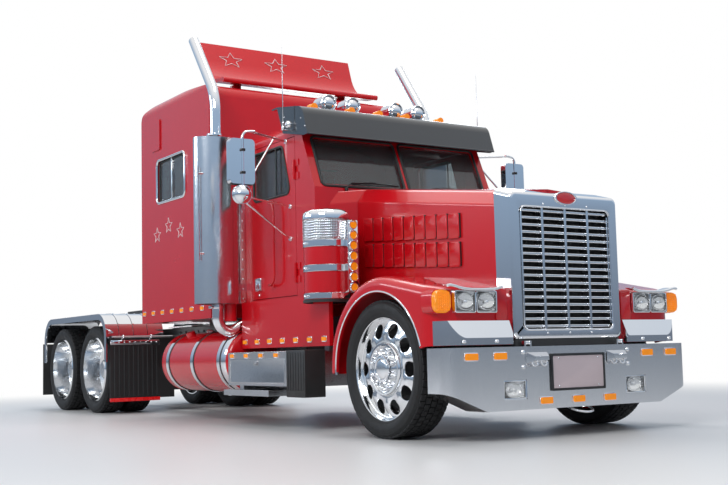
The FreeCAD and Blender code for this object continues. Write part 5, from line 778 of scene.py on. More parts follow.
cap = spun([(0.0, 1.8695), (0.13, 1.8685), (0.168, 1.860), (0.190, 1.842), (0.198, 1.815), (0.199, 1.800),
            (0.204, 1.796), (0.204, 1.788), (0.193, 1.786)], cleaner, "z", steps=72, closed=False)
buckles = []
for z in (1.580, 1.371, 1.136):
    buckles += [block((cleaner_x - 0.013, -1.243, z - 0.010), (cleaner_x + 0.013, -1.216, z + 0.010), 0.003),
                drum((cleaner_x - 0.030, -1.233, z), "x", 0.004, 0.060, 0.001, 10)]
fit("cleaner_bands", both(cap, *(band(low, high) for low, high in band_z), *buckles), chrome)

screen_holes, screen_low, hole_rise, hole_rim = 84, 1.611, 0.0216, 0.0034
screen = spun([(cleaner_r + 0.0035, screen_low + row * hole_rise) for row in range(9)], cleaner, "z",
              steps=screen_holes, closed=False)
choose(screen, "face", lambda f, m: True)
bpy.ops.mesh.inset(thickness=hole_rim, depth=0, use_individual=True)
bpy.ops.mesh.delete(type="FACE")
fit("cleaner_screens", both(modify(screen, "SOLIDIFY", thickness=0.002, offset=0)), chrome)
lining = spun([(cleaner_r + 0.0012, 1.608), (cleaner_r + 0.0012, 1.786)], cleaner, "z", steps=72, closed=False)
fit("screen_linings", both(lining), frame_paint)
foot = spun([(0.197, 1.083), (0.205, 1.085), (0.206, 1.108), (0.191, 1.111)], cleaner, "z")
fit("cleaner_feet", both(foot), flap_rubber)

# Each cleaner also has a bright spun lid and bright sleeves under its clamps.
# A bright folded plate beside it carries its lamps.
cleaner_left = (cleaner_x, -cleaner_y, 0)
lid = spun([(0.2005, 1.786), (0.2040, 1.789), (0.2040, 1.815), (0.2000, 1.836), (0.1870, 1.856), (0.1650, 1.868),
            (0.1400, 1.8725), (0.0600, 1.8735), (0.0, 1.8735)], cleaner_left, "z", steps=72, closed=False)
sleeves = [spun([(0.2005, low), (0.2035, low + 0.003), (0.2035, high - 0.003), (0.2005, high)], cleaner_left, "z",
                steps=72) for low, high in ((1.342, 1.400), (1.551, 1.609), (1.112, 1.164))]
fit("cleaner_sleeves", both(lid, *sleeves), chrome)
bar_low, bar_high = 1.162, 1.768
fit("bar_plates", both(slab((-0.7875, 0.857, bar_low), (-0.7845, 0.958, bar_high), "x", 0.008, 0.001),
                       slab((-0.878, 0.9545, bar_low), (-0.7845, 0.9575, bar_high), "y", 0.006, 0.001)), chrome)

# Lamp bars: a column of seven round amber lamps beside each air cleaner,
# each pressed into a bright bezel.
bar_lamps, bar_first, bar_pitch = 7, 1.200, 0.0885
bezel = [(0.030, 0.0), (0.031, 0.014), (0.034, 0.020), (0.038, 0.020), (0.041, 0.014), (0.042, 0.0)]
fit("bar_bezels", both(*(spun(bezel, (-0.788, -0.9075, bar_first + bar_pitch * n), "x", steps=32)
                         for n in range(bar_lamps))), chrome)

# Windscreen: two flat panes held in black rubber.
# The wipers turn on spindles under the glass, and park along its lower edge.
pane_foot, pane_low, pane_high, lean = -1.240, 2.115, 2.610, 0.210
pane_rise = pane_high - pane_low


def on_screen(y, z, out=0.0):
    """A point on the leaning windscreen, moved out along its normal."""
    slope = math.hypot(lean, pane_rise)
    x = pane_foot - lean * (z - pane_low) / pane_rise
    return Vector((x + out * pane_rise / slope, y, z + out * lean / slope))


pane = [on_screen(y, z, 0.002) for y, z in ((0.026, 2.128), (0.916, 2.128), (0.916, 2.598), (0.026, 2.598))]
fit("screen_gaskets", both(ring_round(pane, 0.045, 0.0125)), flap_rubber)
wipers = []
for pivot, near, far in ((-0.68, -0.62, -0.10), (0.22, 0.28, 0.80)):
    base = on_screen(pivot, 2.116, 0.010) + Vector((0.012, 0, -0.012))
    middle = (near + far) / 2
    arm = [base + Vector((0, 0, 0.010)), on_screen(pivot + 0.05, 2.150, 0.034), on_screen(middle, 2.168, 0.030)]
    spine = [on_screen(near, 2.150, 0.020), on_screen(middle, 2.162, 0.024), on_screen(far, 2.158, 0.020)]
    lip = [on_screen(near + 0.01, 2.147, 0.011), on_screen(far - 0.01, 2.155, 0.011)]
    wipers += [tube(arm, 0.006), tube(spine, 0.0055), tube(lip, 0.004),
               drum(base - Vector((0.004, 0, 0.020)), "z", 0.016, 0.032, 0.004, 20)]
fit("wipers", joined(*wipers), frame_paint)

# Doors: steel skins with rubber round the window, a bright pull handle, a lock, and a red grab bar.
# The mirror's glass looks back to the driver. Black clamps with bright screws hold its case on the pole,
# over a round bright glass.
door_skin, mirror_y, mirror_x = 1.001, 1.550, -1.530
window = [(-2.378, 2.108), (-1.668, 2.108), (-1.806, 2.564), (-2.378, 2.564)]
grab_out, grab_ends = 0.052, ((-2.005, 2.060), (-2.015, 1.292))
grab_bend = [(-2.000, 2.062), (-1.950, 2.055), (-1.915, 2.020), (-1.900, 1.960), (-1.900, 1.400), (-1.915, 1.335),
             (-1.950, 1.302), (-2.010, 1.292)]
lock_face = [(0.0, 0.010), (0.010, 0.010), (0.013, 0.006), (0.013, 0.0)]
foot_dome = [(0.0, 0.010), (0.010, 0.0085), (0.018, 0.004), (0.021, 0.0)]
clamp_screw = [(0.0, 0.006), (0.005, 0.005), (0.008, 0.0)]
ball = [(0.0, 0.052), (0.025, 0.050), (0.048, 0.041), (0.066, 0.027), (0.078, 0.010), (0.084, -0.004),
        (0.087, -0.006), (0.087, -0.024), (0.084, -0.026)]
for side, way in (("right", -1), ("left", 1)):
    skin_y, door = door_skin * way, f"door_{side}"

    def raised(x, z, high, corner, **pocket):
        """A plate that stands out of the door between two lengths and two heights."""
        ends = sorted((skin_y, skin_y + high * way))
        return slab((x[0], ends[0], z[0]), (x[1], ends[1], z[1]), "y", corner, **pocket)

    seal = ring_round([(x, skin_y, z) for x, z in window], 0.055, 0.011)
    divider = tube([(-1.93, skin_y, 2.112), (-1.93, skin_y, 2.560)], 0.008)
    fit(f"window_seal_{side}", joined(seal, divider), flap_rubber, door)
    plate = raised((-2.352, -2.232), (1.255, 1.375), 0.016, 0.014, rim=0.014, depth=0.010, facing=way)
    paddle = raised((-2.334, -2.262), (1.272, 1.358), 0.018, 0.008)
    lock = spun([(r, h * way) for r, h in lock_face], (-2.292, skin_y, 1.215), steps=20, closed=False)
    fit(f"door_handle_{side}", joined(plate, paddle, lock), chrome, door)
    (top_x, top_z), (low_x, low_z) = grab_ends
    bar = tube([(top_x, skin_y, top_z), *((x, skin_y + grab_out * way, z) for x, z in grab_bend),
                (low_x, skin_y, low_z)], 0.011)
    feet = [drum((x, min(skin_y, skin_y + 0.008 * way), z), "y", 0.022, 0.008, 0.002, 24) for x, z in grab_ends]
    fit(f"grab_bar_{side}", joined(bar, *feet), red_paint, door)
    inner, outer = sorted((1.430 * way, 1.668 * way))
    mirror_glass = slab((-1.6065, inner, 2.145), (-1.6005, outer, 2.535), "x", 0.034, 0.001)
    fit(f"mirror_glass_{side}", mirror_glass, chrome, door)
    pole = mirror_y * way
    clamps = []
    for z in (2.24, 2.44):
        clamps += [block((-1.536, pole - 0.020, z - 0.012), (-1.510, pole + 0.020, z + 0.012), 0.004),
                   spun(clamp_screw, (-1.511, pole, z), "x", steps=12, closed=False)]
    gum = ring_round([(x, y * way, 2.139) for x, y in ((-1.585, 1.445), (-1.585, 1.655), (-1.545, 1.655),
                                                       (-1.545, 1.445))], 0.010, 0.005, 3)
    fit(f"mirror_clamps_{side}", joined(*clamps, gum), frame_paint, door)
    ends = [spun([(r, h * way) for r, h in foot_dome], (x, 1.014 * way, z), steps=20, closed=False)
            for x, z in ((-1.720, 2.588), (-1.654, 1.984), (-1.660, 1.692))]
    fit(f"mirror_feet_{side}", joined(*ends), chrome, door)
    fit(f"mirror_ball_{side}", spun(ball, (mirror_x, pole, 2.050), "x", steps=40, closed=False), chrome, door)

# Visor: a gloss dark sheet with a rolled lower lip and rivets,
# on two dome-headed mounts at its ends.
visor_half, visor_end = 1.050, 1.057
lip_line = [(-1.249, y, 2.581) for y in (-visor_half, -0.5, 0, 0.5, visor_half)]
fit("visor_lip", tube(lip_line, 0.008), visor_gloss)
end_dome = [(0.0, 0.034), (0.016, 0.032), (0.028, 0.024), (0.034, 0.012), (0.036, 0.0)]
end_domes = joined(*(spun([(r, h * way) for r, h in end_dome], (-1.577, visor_end * way, 2.716), steps=28,
                          closed=False) for way in (-1, 1)))
rivets = both(*(dome_bolt((x, visor_end, z), "y", 0.4) for x, z in ((-1.36, 2.735), (-1.66, 2.80), (-1.29, 2.655))))
fit("visor_mounts", joined(end_domes, rivets), chrome)

# Roof: four lamp shells with a bezel and a domed bright cover,
# and two whip aerials on sprung feet.
roof_x, roof_z = -1.765, 3.005
roof_bezel = [(0.068, 0.0), (0.070, 0.012), (0.076, 0.018), (0.083, 0.012), (0.085, 0.0), (0.083, -0.018),
              (0.079, -0.020), (0.079, 0.0)]
roof_dome = [(0.0, 0.040), (0.020, 0.038), (0.040, 0.031), (0.056, 0.019), (0.067, 0.004), (0.069, -0.002)]
for name, outline, closed in (("roof_bezels", roof_bezel, True), ("roof_domes", roof_dome, False)):
    fit(name, joined(*(spun(outline, (roof_x, y, roof_z), "x", steps=48, closed=closed)
                       for y in (-0.519, -0.25, 0.25, 0.519))), chrome)
aerial_x, aerial_y, aerial_foot, coil_count, coil_pitch = -1.573, 1.118, 2.665, 5, 0.0065
aerial = [drum((aerial_x, aerial_y, aerial_foot), "z", 0.014, 0.030, 0.003, 20),
          drum((aerial_x, aerial_y, aerial_foot + 0.030), "z", 0.009, 0.040, 0.002, 16),
          drum((aerial_x, aerial_y, aerial_foot + 0.070), "z", 0.0045, 0.70, 0.001, 10, far=0.0022),
          block((aerial_x - 0.015, 1.055, 2.658), (aerial_x + 0.015, 1.132, 2.666))]
coils = [spun([(0.010, 0.0), (0.013, 0.003), (0.010, 0.006)], (aerial_x, aerial_y, 2.697 + n * coil_pitch), "z",
              steps=20) for n in range(coil_count)]
fit("aerials", both(*aerial, *coils), chrome)

# Sleeper side: a bright window frame with a sliding divider in black rubber, and three outline stars in line work.
line_paint = finish("line_paint", None, (0.86, 0.72, 0.74), 0.3, drift=0.03, patch=8, grain=0.0001, fine=300)
frame_loop = [(x, 1.157, z) for x, z in ((-4.367, 2.333), (-3.628, 2.333), (-3.628, 2.808), (-4.367, 2.808))]
seal_loop = [(x, 1.134, z) for x, z in ((-4.345, 2.355), (-3.650, 2.355), (-3.650, 2.786), (-4.345, 2.786))]
fit("berth_frames", both(ring_round(frame_loop, 0.060, 0.015, 8),
                         block((-4.010, 1.118, 2.345), (-3.985, 1.150, 2.796), 0.003)), chrome)
fit("berth_seals", both(ring_round(seal_loop, 0.045, 0.008)), flap_rubber)


def star_line(middle, wide, high, place):
    """The outline of a five-pointed star, laid on a surface by its place function."""
    points = []
    for step in range(10):
        turn, reach = math.pi / 2 + step * math.pi / 5, 0.42 if step % 2 else 1.0
        points.append(place(middle[0] + math.cos(turn) * reach * wide, middle[1] + math.sin(turn) * reach * high))
    return tube(points, 0.0045, closed=True, sides=1)


stars = [star_line(spot, 0.098, 0.085, lambda x, z: (x, 1.1525, z))
         for spot in ((-4.38, 1.988), (-4.07, 2.064), (-3.763, 1.979))]
fit("side_stars", both(*stars), line_paint)

# Roof wing: red fibreglass on the sleeper's roof,
# with three outline stars in line work on its leaning face.
wing_x, wing_z, wing_lean = -3.6535, 3.856, 0.326
wing_stars = [star_line((y, 3.850), 0.145, 0.090, lambda y, z: (wing_x - (z - wing_z) * wing_lean, y, z))
              for y in (-0.59, -0.036, 0.575)]
fit("wing_stars", joined(*wing_stars), line_paint)

# Lamp bases: a bright pressed plate under each small amber lamp along the sleeper, the skirt and the step box,
# and on the bumper.
base_half, base_rise = 0.040, 0.026
wide_half, wide_rise = 0.062, 0.031
upper_row, lower_row = 0.608, 0.277


def bases(count, rear, front, z, y):
    """A row of small rounded plates, evenly spaced."""
    places = [rear + (front - rear) * n / (count - 1) for n in range(count)]
    return [slab((x - base_half, y - 0.001, z - base_rise), (x + base_half, y + 0.005, z + base_rise), "y", 0.012,
                 0.0015, steps=4) for x in places]


def bumper_base(y, z):
    """The plate of one lamp on the bumper's face."""
    return slab((0.884, y - wide_half, z - wide_rise), (0.891, y + wide_half, z + wide_rise), "x", 0.010, 0.0015,
                steps=4)


fit("lamp_bases", both(*bases(7, -4.75, -3.24, 1.140, 1.152), *bases(7, -2.50, -1.04, 0.780, 1.050),
                       *bases(4, -2.48, -1.62, 0.652, 1.200)), chrome)
side_bases = both(bumper_base(0.748, upper_row), bumper_base(1.012, upper_row), bumper_base(0.323, lower_row))
fit("bumper_lamp_bases", joined(side_bases, bumper_base(0, lower_row)), chrome)

# Exhaust: chromed stacks, clamped above and below oval shields of soft-polished sheet steel. A flat flange with a
# row of domed bolts ties each shield to the cab's rear corner, and a red stub pipe carries the stack's foot.
stack_x, stack_y = -2.645, 1.270
clamp_ring = [(0.0525, 0.0), (0.060, 0.002), (0.0615, 0.010), (0.060, 0.030), (0.0525, 0.032)]
clamps = []
for z in (2.770, 1.105):
    clamps += [spun(clamp_ring, (stack_x, stack_y, z), "z", steps=40),
               block((stack_x - 0.030, 1.325, z + 0.002), (stack_x + 0.030, 1.352, z + 0.030), 0.003),
               drum((stack_x - 0.045, 1.340, z + 0.016), "x", 0.005, 0.090, 0.001, 10)]
fit("stack_clamps", both(*clamps), chrome)
stub = spun([(0.0, 0.985), (0.060, 0.985), (0.066, 0.992), (0.066, 1.150), (0.0, 1.150)], (-2.66, 1.130, 0), "z",
            steps=40, closed=False)
fit("shield_stubs", both(stub), red_paint)
soft_steel = finish("soft_steel", "chrome", (0.74, 0.75, 0.77), 0.17, 1.0, drift=0.05, patch=3, grain=0.00015,
                    fine=300)
dress(soft_steel, "exhaust_shields")
flange_front, flange_bolts, flange_pitch = -2.563, 17, 0.0937
flange_row = [dome_bolt((flange_front, 1.034, 1.200 + flange_pitch * n), "x", 0.55) for n in range(flange_bolts)]
fit("shield_flanges", both(slab((-2.571, 1.002, 1.160), (flange_front, 1.066, 2.740), "x", 0.004, 0.001),
                           *flange_row), polish)

# Fuel tanks: red drums with welded end seams, a bright screw cap on a neck, and a bright ring on the front end.
# Each strap lies on a wider black rubber liner.
tank_y, tank_z = 0.900, 0.600
seam = [(0.299, -0.006), (0.3025, -0.003), (0.3025, 0.003), (0.299, 0.006)]
fit("tank_seams", both(*(spun(seam, (x, tank_y, tank_z), "x", steps=72) for x in (-4.150, -2.640))), red_paint)
neck = spun([(0.0, 0.352), (0.036, 0.351), (0.049, 0.347), (0.054, 0.340), (0.054, 0.316), (0.050, 0.313),
             (0.050, 0.304), (0.066, 0.302), (0.068, 0.293)], (0, 0, 0), "z", steps=48, closed=False)
grips = round_about(block((0.051, -0.005, 0.317), (0.0575, 0.005, 0.341), 0.001), (0, 0, 0), "z", 16)
filler, filler_lean = joined(neck, grips), math.radians(-22)
take(filler)
bpy.ops.transform.rotate(value=filler_lean, orient_axis="X", center_override=(0, 0, 0))
bpy.ops.transform.translate(value=(-3.820, tank_y, tank_z))
settle()
fit("filler_caps", both(filler), chrome)
tank_ring = [(0.2850, -2.618), (0.2960, -2.622), (0.3035, -2.640), (0.3035, -2.728), (0.3008, -2.731)]
fit("tank_rings", both(spun(tank_ring, (0, tank_y, tank_z), "x", steps=72, closed=False)), chrome)
liner = [(0.3003, -0.046), (0.3035, -0.044), (0.3035, 0.044), (0.3003, 0.046)]
fit("strap_liners", both(*(spun(liner, (x, tank_y, tank_z), "x", steps=72) for x in (-4.007, -3.395, -2.783))),
    flap_rubber)

# Step boxes: brushed boxes with a raised tread plate, a hatch with a latch, and a lower step. Black ribbed covers
# over the front part of each are painted shade, for the shadow that falls on that part of the box.
lozenge_foot, lozenge_crown, lozenge_high, lozenge_narrow = 0.013, 0.008, 0.0028, 0.34


def tread(low, high, pitch=0.055):
    """A plate with raised lozenges, rolled in two crossing directions."""
    top, row_step = high[2], pitch * 0.5
    marks = [slab(low, high, "z", 0.004, 0.001, steps=2)]
    count = max(1, int((high[0] - low[0] - pitch) / pitch))
    for row in range(max(1, int((high[1] - low[1] - 0.012) / row_step))):
        odd = row % 2
        mark = drum((0, 0, top - 0.0005), "z", lozenge_foot, lozenge_high, 0, 6, far=lozenge_crown)
        take(mark)
        bpy.ops.transform.resize(value=(1.0, lozenge_narrow, 1), center_override=(0, 0, top))
        bpy.ops.transform.rotate(value=math.radians(45 if odd else -45), orient_axis="Z", center_override=(0, 0, top))
        bpy.ops.transform.translate(value=(low[0] + pitch * (0.6 + 0.5 * odd), low[1] + 0.018 + row * row_step, 0))
        settle()
        marks.append(row_of(mark, count, (pitch, 0, 0)))
    return joined(*marks)


fit("step_treads", both(tread((-2.560, 1.056, 0.679), (-1.440, 1.194, 0.684)),
                        tread((-2.560, 1.203, 0.339), (-1.690, 1.247, 0.343))), polish)
hatch = slab((-2.535, 1.197, 0.400), (-1.470, 1.2035, 0.622), "y", 0.020, 0.0015, rim=0.010, depth=0.002)
latch = slab((-2.045, 1.199, 0.560), (-1.965, 1.2085, 0.606), "y", 0.010, 0.0015, rim=0.006, depth=0.004)
latch_grip = slab((-2.028, 1.203, 0.572), (-1.982, 1.212, 0.594), "y", 0.006, 0.0015)
fit("step_hatches", both(hatch, latch, latch_grip), steel)
ribs = [slab((x, 1.2015, 0.345), (x + 0.022, 1.2065, 0.672), "y", 0.006, steps=2)
        for x in (-1.430 + 0.045 * n for n in range(7))]
# These black covers and their ribs are painted shade over the step box's front part.
fit("step_box_shade_covers", both(slab((-1.440, 1.000, 0.289), (-1.1185, 1.2025, 0.691), "y", 0.010, 0.003), *ribs),
    flap_rubber)

# Rear fenders: bright ribbed covers of stainless sheet over the drive wheels,
# bolted to their arms.
cover_bolts = [dome_bolt((x, y, 1.193), "z", 0.7) for x in (-6.35, -6.84, -7.33) for y in (0.64, 1.20)]
fit("cover_bolts", both(*cover_bolts), chrome)

# Front flaps: black pleated rubber under a row of bolts, with a red strip along the lower edge that has a painted
# glow, though it is no lamp.
pleats, pleat_pitch, flap_bolts, flap_bolt_pitch = 10, 0.0585, 9, 0.0675
fold_lines = (0.655 + pleat_pitch * n for n in range(pleats))
folds = [tube([(-5.606, y, 0.205), (-5.606, y, 0.800)], 0.011) for y in fold_lines]
fit("flap_pleats", both(*folds), flap_rubber)
rail = slab((-5.612, 0.622, 0.815), (-5.602, 1.238, 0.868), "x", 0.006, 0.0015)
bolts = [dome_bolt((-5.602, 0.66 + flap_bolt_pitch * n, 0.842), "x", 0.65) for n in range(flap_bolts)]
rod = tube([(-5.560, 0.430, 0.905), (-5.560, 1.235, 0.905)], 0.011)
hoops = [tube([(-5.604, y, 0.87), (-5.575, y, 0.925), (-5.545, y, 0.925), (-5.545, y, 0.885)], 0.006)
         for y in (0.75, 1.10)]
fit("flap_rails", both(rail, *bolts, rod, *hoops), chrome)
# The strip's emission is a painted glow: the strip is no lamp.
red_strip_painted_glow = finish("red_strip_painted_glow", "red_paint", (0.75, 0.010, 0.012), 0.28, drift=0.08, patch=18, grain=0.0002,
                   fine=200, Emission_Color=(0.8, 0.01, 0.01, 1), Emission_Strength=0.12)
fit("flap_strips", both(slab((-5.618, 0.618, 0.148), (-5.600, 1.242, 0.190), "x", 0.006)), red_strip_painted_glow)

# Tail lamps: three red lamps each side on a black bar, with a bare plate holder between them.
tail_bar = slab((-8.216, -0.520, 0.800), (-8.190, 0.520, 0.935), "x", 0.012, 0.003)
tail_plate = slab((-8.224, -0.160, 0.815), (-8.214, 0.160, 0.920), "x", 0.008, 0.0015, rim=0.008, depth=0.003,
                  facing=-1)
fit("tail_bar", joined(tail_bar, tail_plate), frame_paint)
red_lens = finish("red_lens", "red_paint", (0.55, 0.004, 0.004), 0.15, drift=0.1, patch=30, grain=0.0010, fine=120,
                  Transmission_Weight=0.15, Emission_Color=(0.8, 0.01, 0.01, 1), Emission_Strength=0.12)
lens_line = [(0.0, -0.014), (0.020, -0.0125), (0.034, -0.008), (0.040, 0.0)]
rim_line = [(0.040, 0.0), (0.041, -0.008), (0.045, -0.011), (0.049, -0.008), (0.050, 0.0)]
tail_shapes = (("tail_lenses", lens_line, red_lens, False), ("tail_rims", rim_line, chrome, True))
for name, outline, made, closed in tail_shapes:
    fit(name, both(*(spun(outline, (-8.217, y, 0.868), "x", steps=32, closed=closed)
                     for y in (0.235, 0.345, 0.455))), made)

# Deck: a tread plate with rolled lozenges behind the sleeper, bolted over the rails,
# where the driver stands to couple the lines.
fit("deck_tread", tread((-5.480, -0.530, 1.011), (-4.850, 0.530, 1.0155), 0.062), polish)

# Back of the sleeper: a panel with two brake couplings and a trailer socket, rivets along the seams, and an upright
# grab handle each side.
back_x, handle_y, handle_low, handle_high, rivet_count = -4.830, 0.900, 1.300, 2.100, 14
panel = slab((-4.842, -0.230, 1.480), (-4.829, 0.230, 1.640), "x", 0.015)
socket = slab((-4.888, -0.045, 1.520), (-4.840, 0.045, 1.610), "x", 0.012, rim=0.008, depth=0.010, facing=-1)
couplings = []
for y in (-0.14, 0.14):
    couplings += [spun([(0.0, -0.040), (0.022, -0.038), (0.030, -0.030), (0.031, -0.008), (0.036, 0.0)],
                       (-4.842, y, 1.560), "x", steps=28, closed=False),
                  block((-4.880, y - 0.010, 1.584), (-4.850, y + 0.010, 1.604))]
fit("coupling_panel", joined(panel, socket, *couplings), frame_paint)
handle = [(x, handle_y, z) for x, z in ((back_x, handle_low), (-4.900, handle_low), (-4.910, handle_low + 0.020),
                                        (-4.910, handle_high - 0.020), (-4.900, handle_high), (back_x, handle_high))]
feet = [drum((-4.838, handle_y, z), "x", 0.026, 0.008, 0.002, 24) for z in (handle_low, handle_high)]
fit("rear_handles", both(tube(handle, 0.014), *feet), chrome)
rivets = joined(*(dome_bolt((back_x, 0.45, 1.15 + 0.16 * n), "x", 0.35) for n in range(rivet_count)))
fit("rear_rivets", both(other_side(rivets, "x", (back_x, 0, 0))), red_paint)

# Brakes and air: a chamber on a bracket at each drive wheel, and two air tanks in straps between the rails.
chamber_y, air_y, low_z = 0.545, 0.270, 0.600
pot = spun([(0.0, -0.075), (0.050, -0.074), (0.072, -0.062), (0.078, -0.040), (0.078, -0.006), (0.088, -0.004),
            (0.088, 0.006), (0.078, 0.008), (0.074, 0.052), (0.055, 0.070), (0.0, 0.072)], (0, 0, 0), "x", steps=40,
           closed=False)
chamber = joined(pot, drum((-0.19, 0, 0), "x", 0.010, 0.13, 0.001, 12),
                 block((-0.21, -0.030, -0.012), (-0.185, 0.012, 0.012), 0.003))
chambers = []
for x in drive_axle_x.values():
    chambers += [placed(copied(chamber), (x + 0.26, chamber_y, low_z)),
                 block((x + 0.03, chamber_y - 0.025, low_z - 0.040), (x + 0.18, chamber_y, low_z + 0.040), 0.004)]
thrown_away(chamber)
fit("brake_chambers", both(*chambers), cast_paint)
tank = spun([(0.0, -0.40), (0.06, -0.397), (0.10, -0.375), (0.115, -0.345), (0.115, 0.345), (0.10, 0.375),
             (0.06, 0.397), (0.0, 0.40)], (-4.98, air_y, low_z), "x", steps=48, closed=False)
straps = []
for x in (-5.20, -4.76):
    straps += [spun([(0.1155, -0.018), (0.119, -0.016), (0.119, 0.016), (0.1155, 0.018)], (x, air_y, low_z), "x",
                    steps=48), block((x - 0.020, 0.380, low_z), (x + 0.020, rail_side, 0.740), 0.003)]
fit("air_tanks", both(tank, *straps), frame_paint)

# Fifth wheel: grease grooves in the plate, and a release handle that reaches out to the driver's side.
plate_top, handle_z = 1.2655, 1.205
side_groove = [(-6.50, 0.30), (-6.62, 0.36), (-6.80, 0.38), (-6.98, 0.34)]
end_groove = [(-6.46, -0.22), (-6.44, 0.0), (-6.46, 0.22)]
grooves = [tube([(x, y, plate_top) for x, y in line], 0.004, sides=1)
           for line in ([(x, -y) for x, y in side_groove], side_groove, end_groove)]
fit("grease_grooves", joined(*grooves), frame_paint, "fifth_wheel")
pull = [(-6.70, 0.430), (-6.70, 0.520), (-6.68, 0.545), (-6.64, 0.550), (-6.62, 0.535)]
fit("release_handle", tube([(x, y, handle_z) for x, y in pull], 0.009), steel, "fifth_wheel")
base_bolts = [drum((x, 0.395, 1.03), "y", 0.014, 0.020, 0.002, 6) for x in (-6.62, -6.74, -6.86, -6.98)]
fit("base_bolts", both(*base_bolts), steel)

# Seats: dark leather over foam, each with a crowned cushion, side bolsters, a fluted back and a headrest, in a
# moulded shell on a pedestal.
leather = finish("seat_leather", "seat_leather", (0.045, 0.030, 0.026), 0.48, drift=0.2, patch=12, grain=0.0015,
                 fine=220)
leather_dark = finish("leather_dark", "seat_leather", (0.045, 0.045, 0.05), 0.5, drift=0.12, patch=14,
                      grain=0.0009, fine=220)
flutes, flute_low, flute_pitch, flute_high = 5, 1.655, 0.096, 0.092


def cushion(low, high, corner, crown):
    """A stuffed pad: a block that is cut into a grid, rounded and swollen at its middle."""
    piece = modify(cuboid(low, high), "BEVEL", width=corner, segments=3)
    take(piece, whole=True)
    bpy.ops.mesh.subdivide(number_cuts=3, smoothness=crown)
    clear()
    modify(piece, "SUBSURF", levels=1, render_levels=1)
    bpy.ops.object.shade_smooth()
    return piece


def across(shape, x, side, half, z, *more):
    """A shape between two lengths and two heights, as far to each way of its middle line."""
    return shape((x[0], side - half, z[0]), (x[1], side + half, z[1]), *more)


pads, shells = [], []
for side in (-0.48, 0.48):
    bolster_sides = (side - 0.212, side + 0.212)
    pads.append(joined(across(cushion, (-2.340, -1.865), side, 0.175, (1.535, 1.645), 0.030, 0.20),
                       *(across(cushion, (-2.330, -1.870), at, 0.036, (1.530, 1.655), 0.020, 0.05)
                         for at in bolster_sides)))
    back = [across(cushion, (-2.405, -2.345), side, 0.165, (z, z + flute_high), 0.018, 0.10)
            for z in (flute_low + flute_pitch * n for n in range(flutes))]
    back += [across(cushion, (-2.445, -2.335), side + way * 0.205, 0.040, (1.645, 2.145), 0.022, 0.05)
             for way in (-1, 1)]
    pads += [joined(*back), across(cushion, (-2.455, -2.355), side, 0.150, (2.200, 2.385), 0.030, 0.15)]
    shells += [across(slab, (-2.478, -2.400), side, 0.235, (1.540, 2.165), "x", 0.040, 0.012),
               across(slab, (-2.340, -1.860), side, 0.240, (1.500, 1.545), "z", 0.030, 0.006),
               *(drum((-2.430, side + way * 0.060, 2.140), "z", 0.007, 0.075, 0.001, 12) for way in (-1, 1)),
               across(block, (-2.300, -2.000), side, 0.160, (1.235, 1.500), 0.012),
               across(slab, (-2.360, -1.960), side, 0.200, (1.2175, 1.240), "z", 0.020, 0.004)]
fit("seat_frames", joined(*shells), leather_dark, replaced="seats")
for number, pad in enumerate(pads):
    fit(f"seat_pad_{number}", pad, leather)

# Dashboard: a dark wooden panel with round gauges in bright rims before the driver, air vents and a glove box lid,
# and a padded boss on the steering wheel.
wood = finish("burr_wood", "dash_plastic", (0.16, 0.060, 0.020), 0.25, drift=0.5, patch=16, grain=0.0003, fine=90,
              stretch=(1, 1, 5), Coat_Weight=0.7)
dash_face, gauge_z = -1.686, 1.880
fit("dash_panel", joined(slab((dash_face, 0.150, 1.790), (-1.679, 0.860, 1.968), "x", 0.025),
                         slab((dash_face, -0.860, 1.700), (-1.679, -0.250, 1.900), "x", 0.025, rim=0.012,
                              depth=0.003, facing=-1)), wood)
rims, faces, needles = [], [], []
for y, r in ((0.225, 0.030), (0.310, 0.030), (0.410, 0.048), (0.535, 0.048), (0.635, 0.030), (0.710, 0.030),
             (0.790, 0.030)):
    rims.append(spun([(r, 0.0), (r, -0.007), (r + 0.004, -0.010), (r + 0.008, -0.006), (r + 0.009, 0.0)],
                     (dash_face, y, gauge_z), "x", steps=36))
    faces.append(drum((dash_face - 0.003, y, gauge_z), "x", r, 0.003, 0.0, 36))
    needles += [block((-1.6915, y - 0.001, gauge_z), (-1.6895, y + 0.001, gauge_z + r * 0.75), 0.0),
                drum((-1.693, y, gauge_z), "x", 0.004, 0.004, 0.0, 12)]
fit("gauge_rims", joined(*rims), chrome)
fit("gauge_faces", joined(*faces), plastic)
fit("gauge_needles", joined(*needles), plate_paint)
vents = [block((-1.690, y, z), (-1.680, y + 0.110, z + 0.005), 0.001)
         for y in (0.20, 0.66, -0.16, 0.0) for z in (1.720 + 0.012 * n for n in range(4))]
boss = spun([(0.0, -0.022), (0.030, -0.020), (0.050, -0.012), (0.056, 0.0), (0.050, 0.014), (0.0, 0.016)],
            (0, 0, 0), "x", steps=32, closed=False)
boss = placed(joined(boss, block((-0.006, -0.014, -0.225), (0.006, 0.014, -0.030), 0.004)), (-1.790, 0.480, 2.010),
              (0, math.radians(35), 0))
fit("dash_fittings", joined(boss, *vents), plastic)

# Engine: a straight six in cast iron. Ribbed rocker covers, pipes, a fan and belt wheels
# are bolted to the block.
cover_pitch, cover_half, covers = 0.37, 0.150, []
for start in (-0.98 + cover_pitch * n for n in range(3)):
    covers += [across(slab, (start, start + 0.34), 0, cover_half, (1.556, 1.640), "z", 0.040, 0.014),
               *(across(block, (x, x + 0.015), 0, 0.120, (1.636, 1.647), 0.003)
                 for x in (start + 0.04 + 0.055 * k for k in range(5))),
               *(dome_bolt((start + dx, dy, 1.600), "z", 0.8) for dx in (0.02, 0.32) for dy in (-0.168, 0.168))]
fit("rocker_covers", joined(*covers), polish)
block_rib_x = [-1.00 + 0.09 * n for n in range(13)]
block_ribs = [across(block, (x, x + 0.015), 0, 0.333, (0.680, 1.480), 0.004) for x in block_rib_x]
flanges = [across(block, (-1.02, 0.12), 0, 0.338, (z, z + 0.030), 0.006) for z in (1.300, 0.860)]
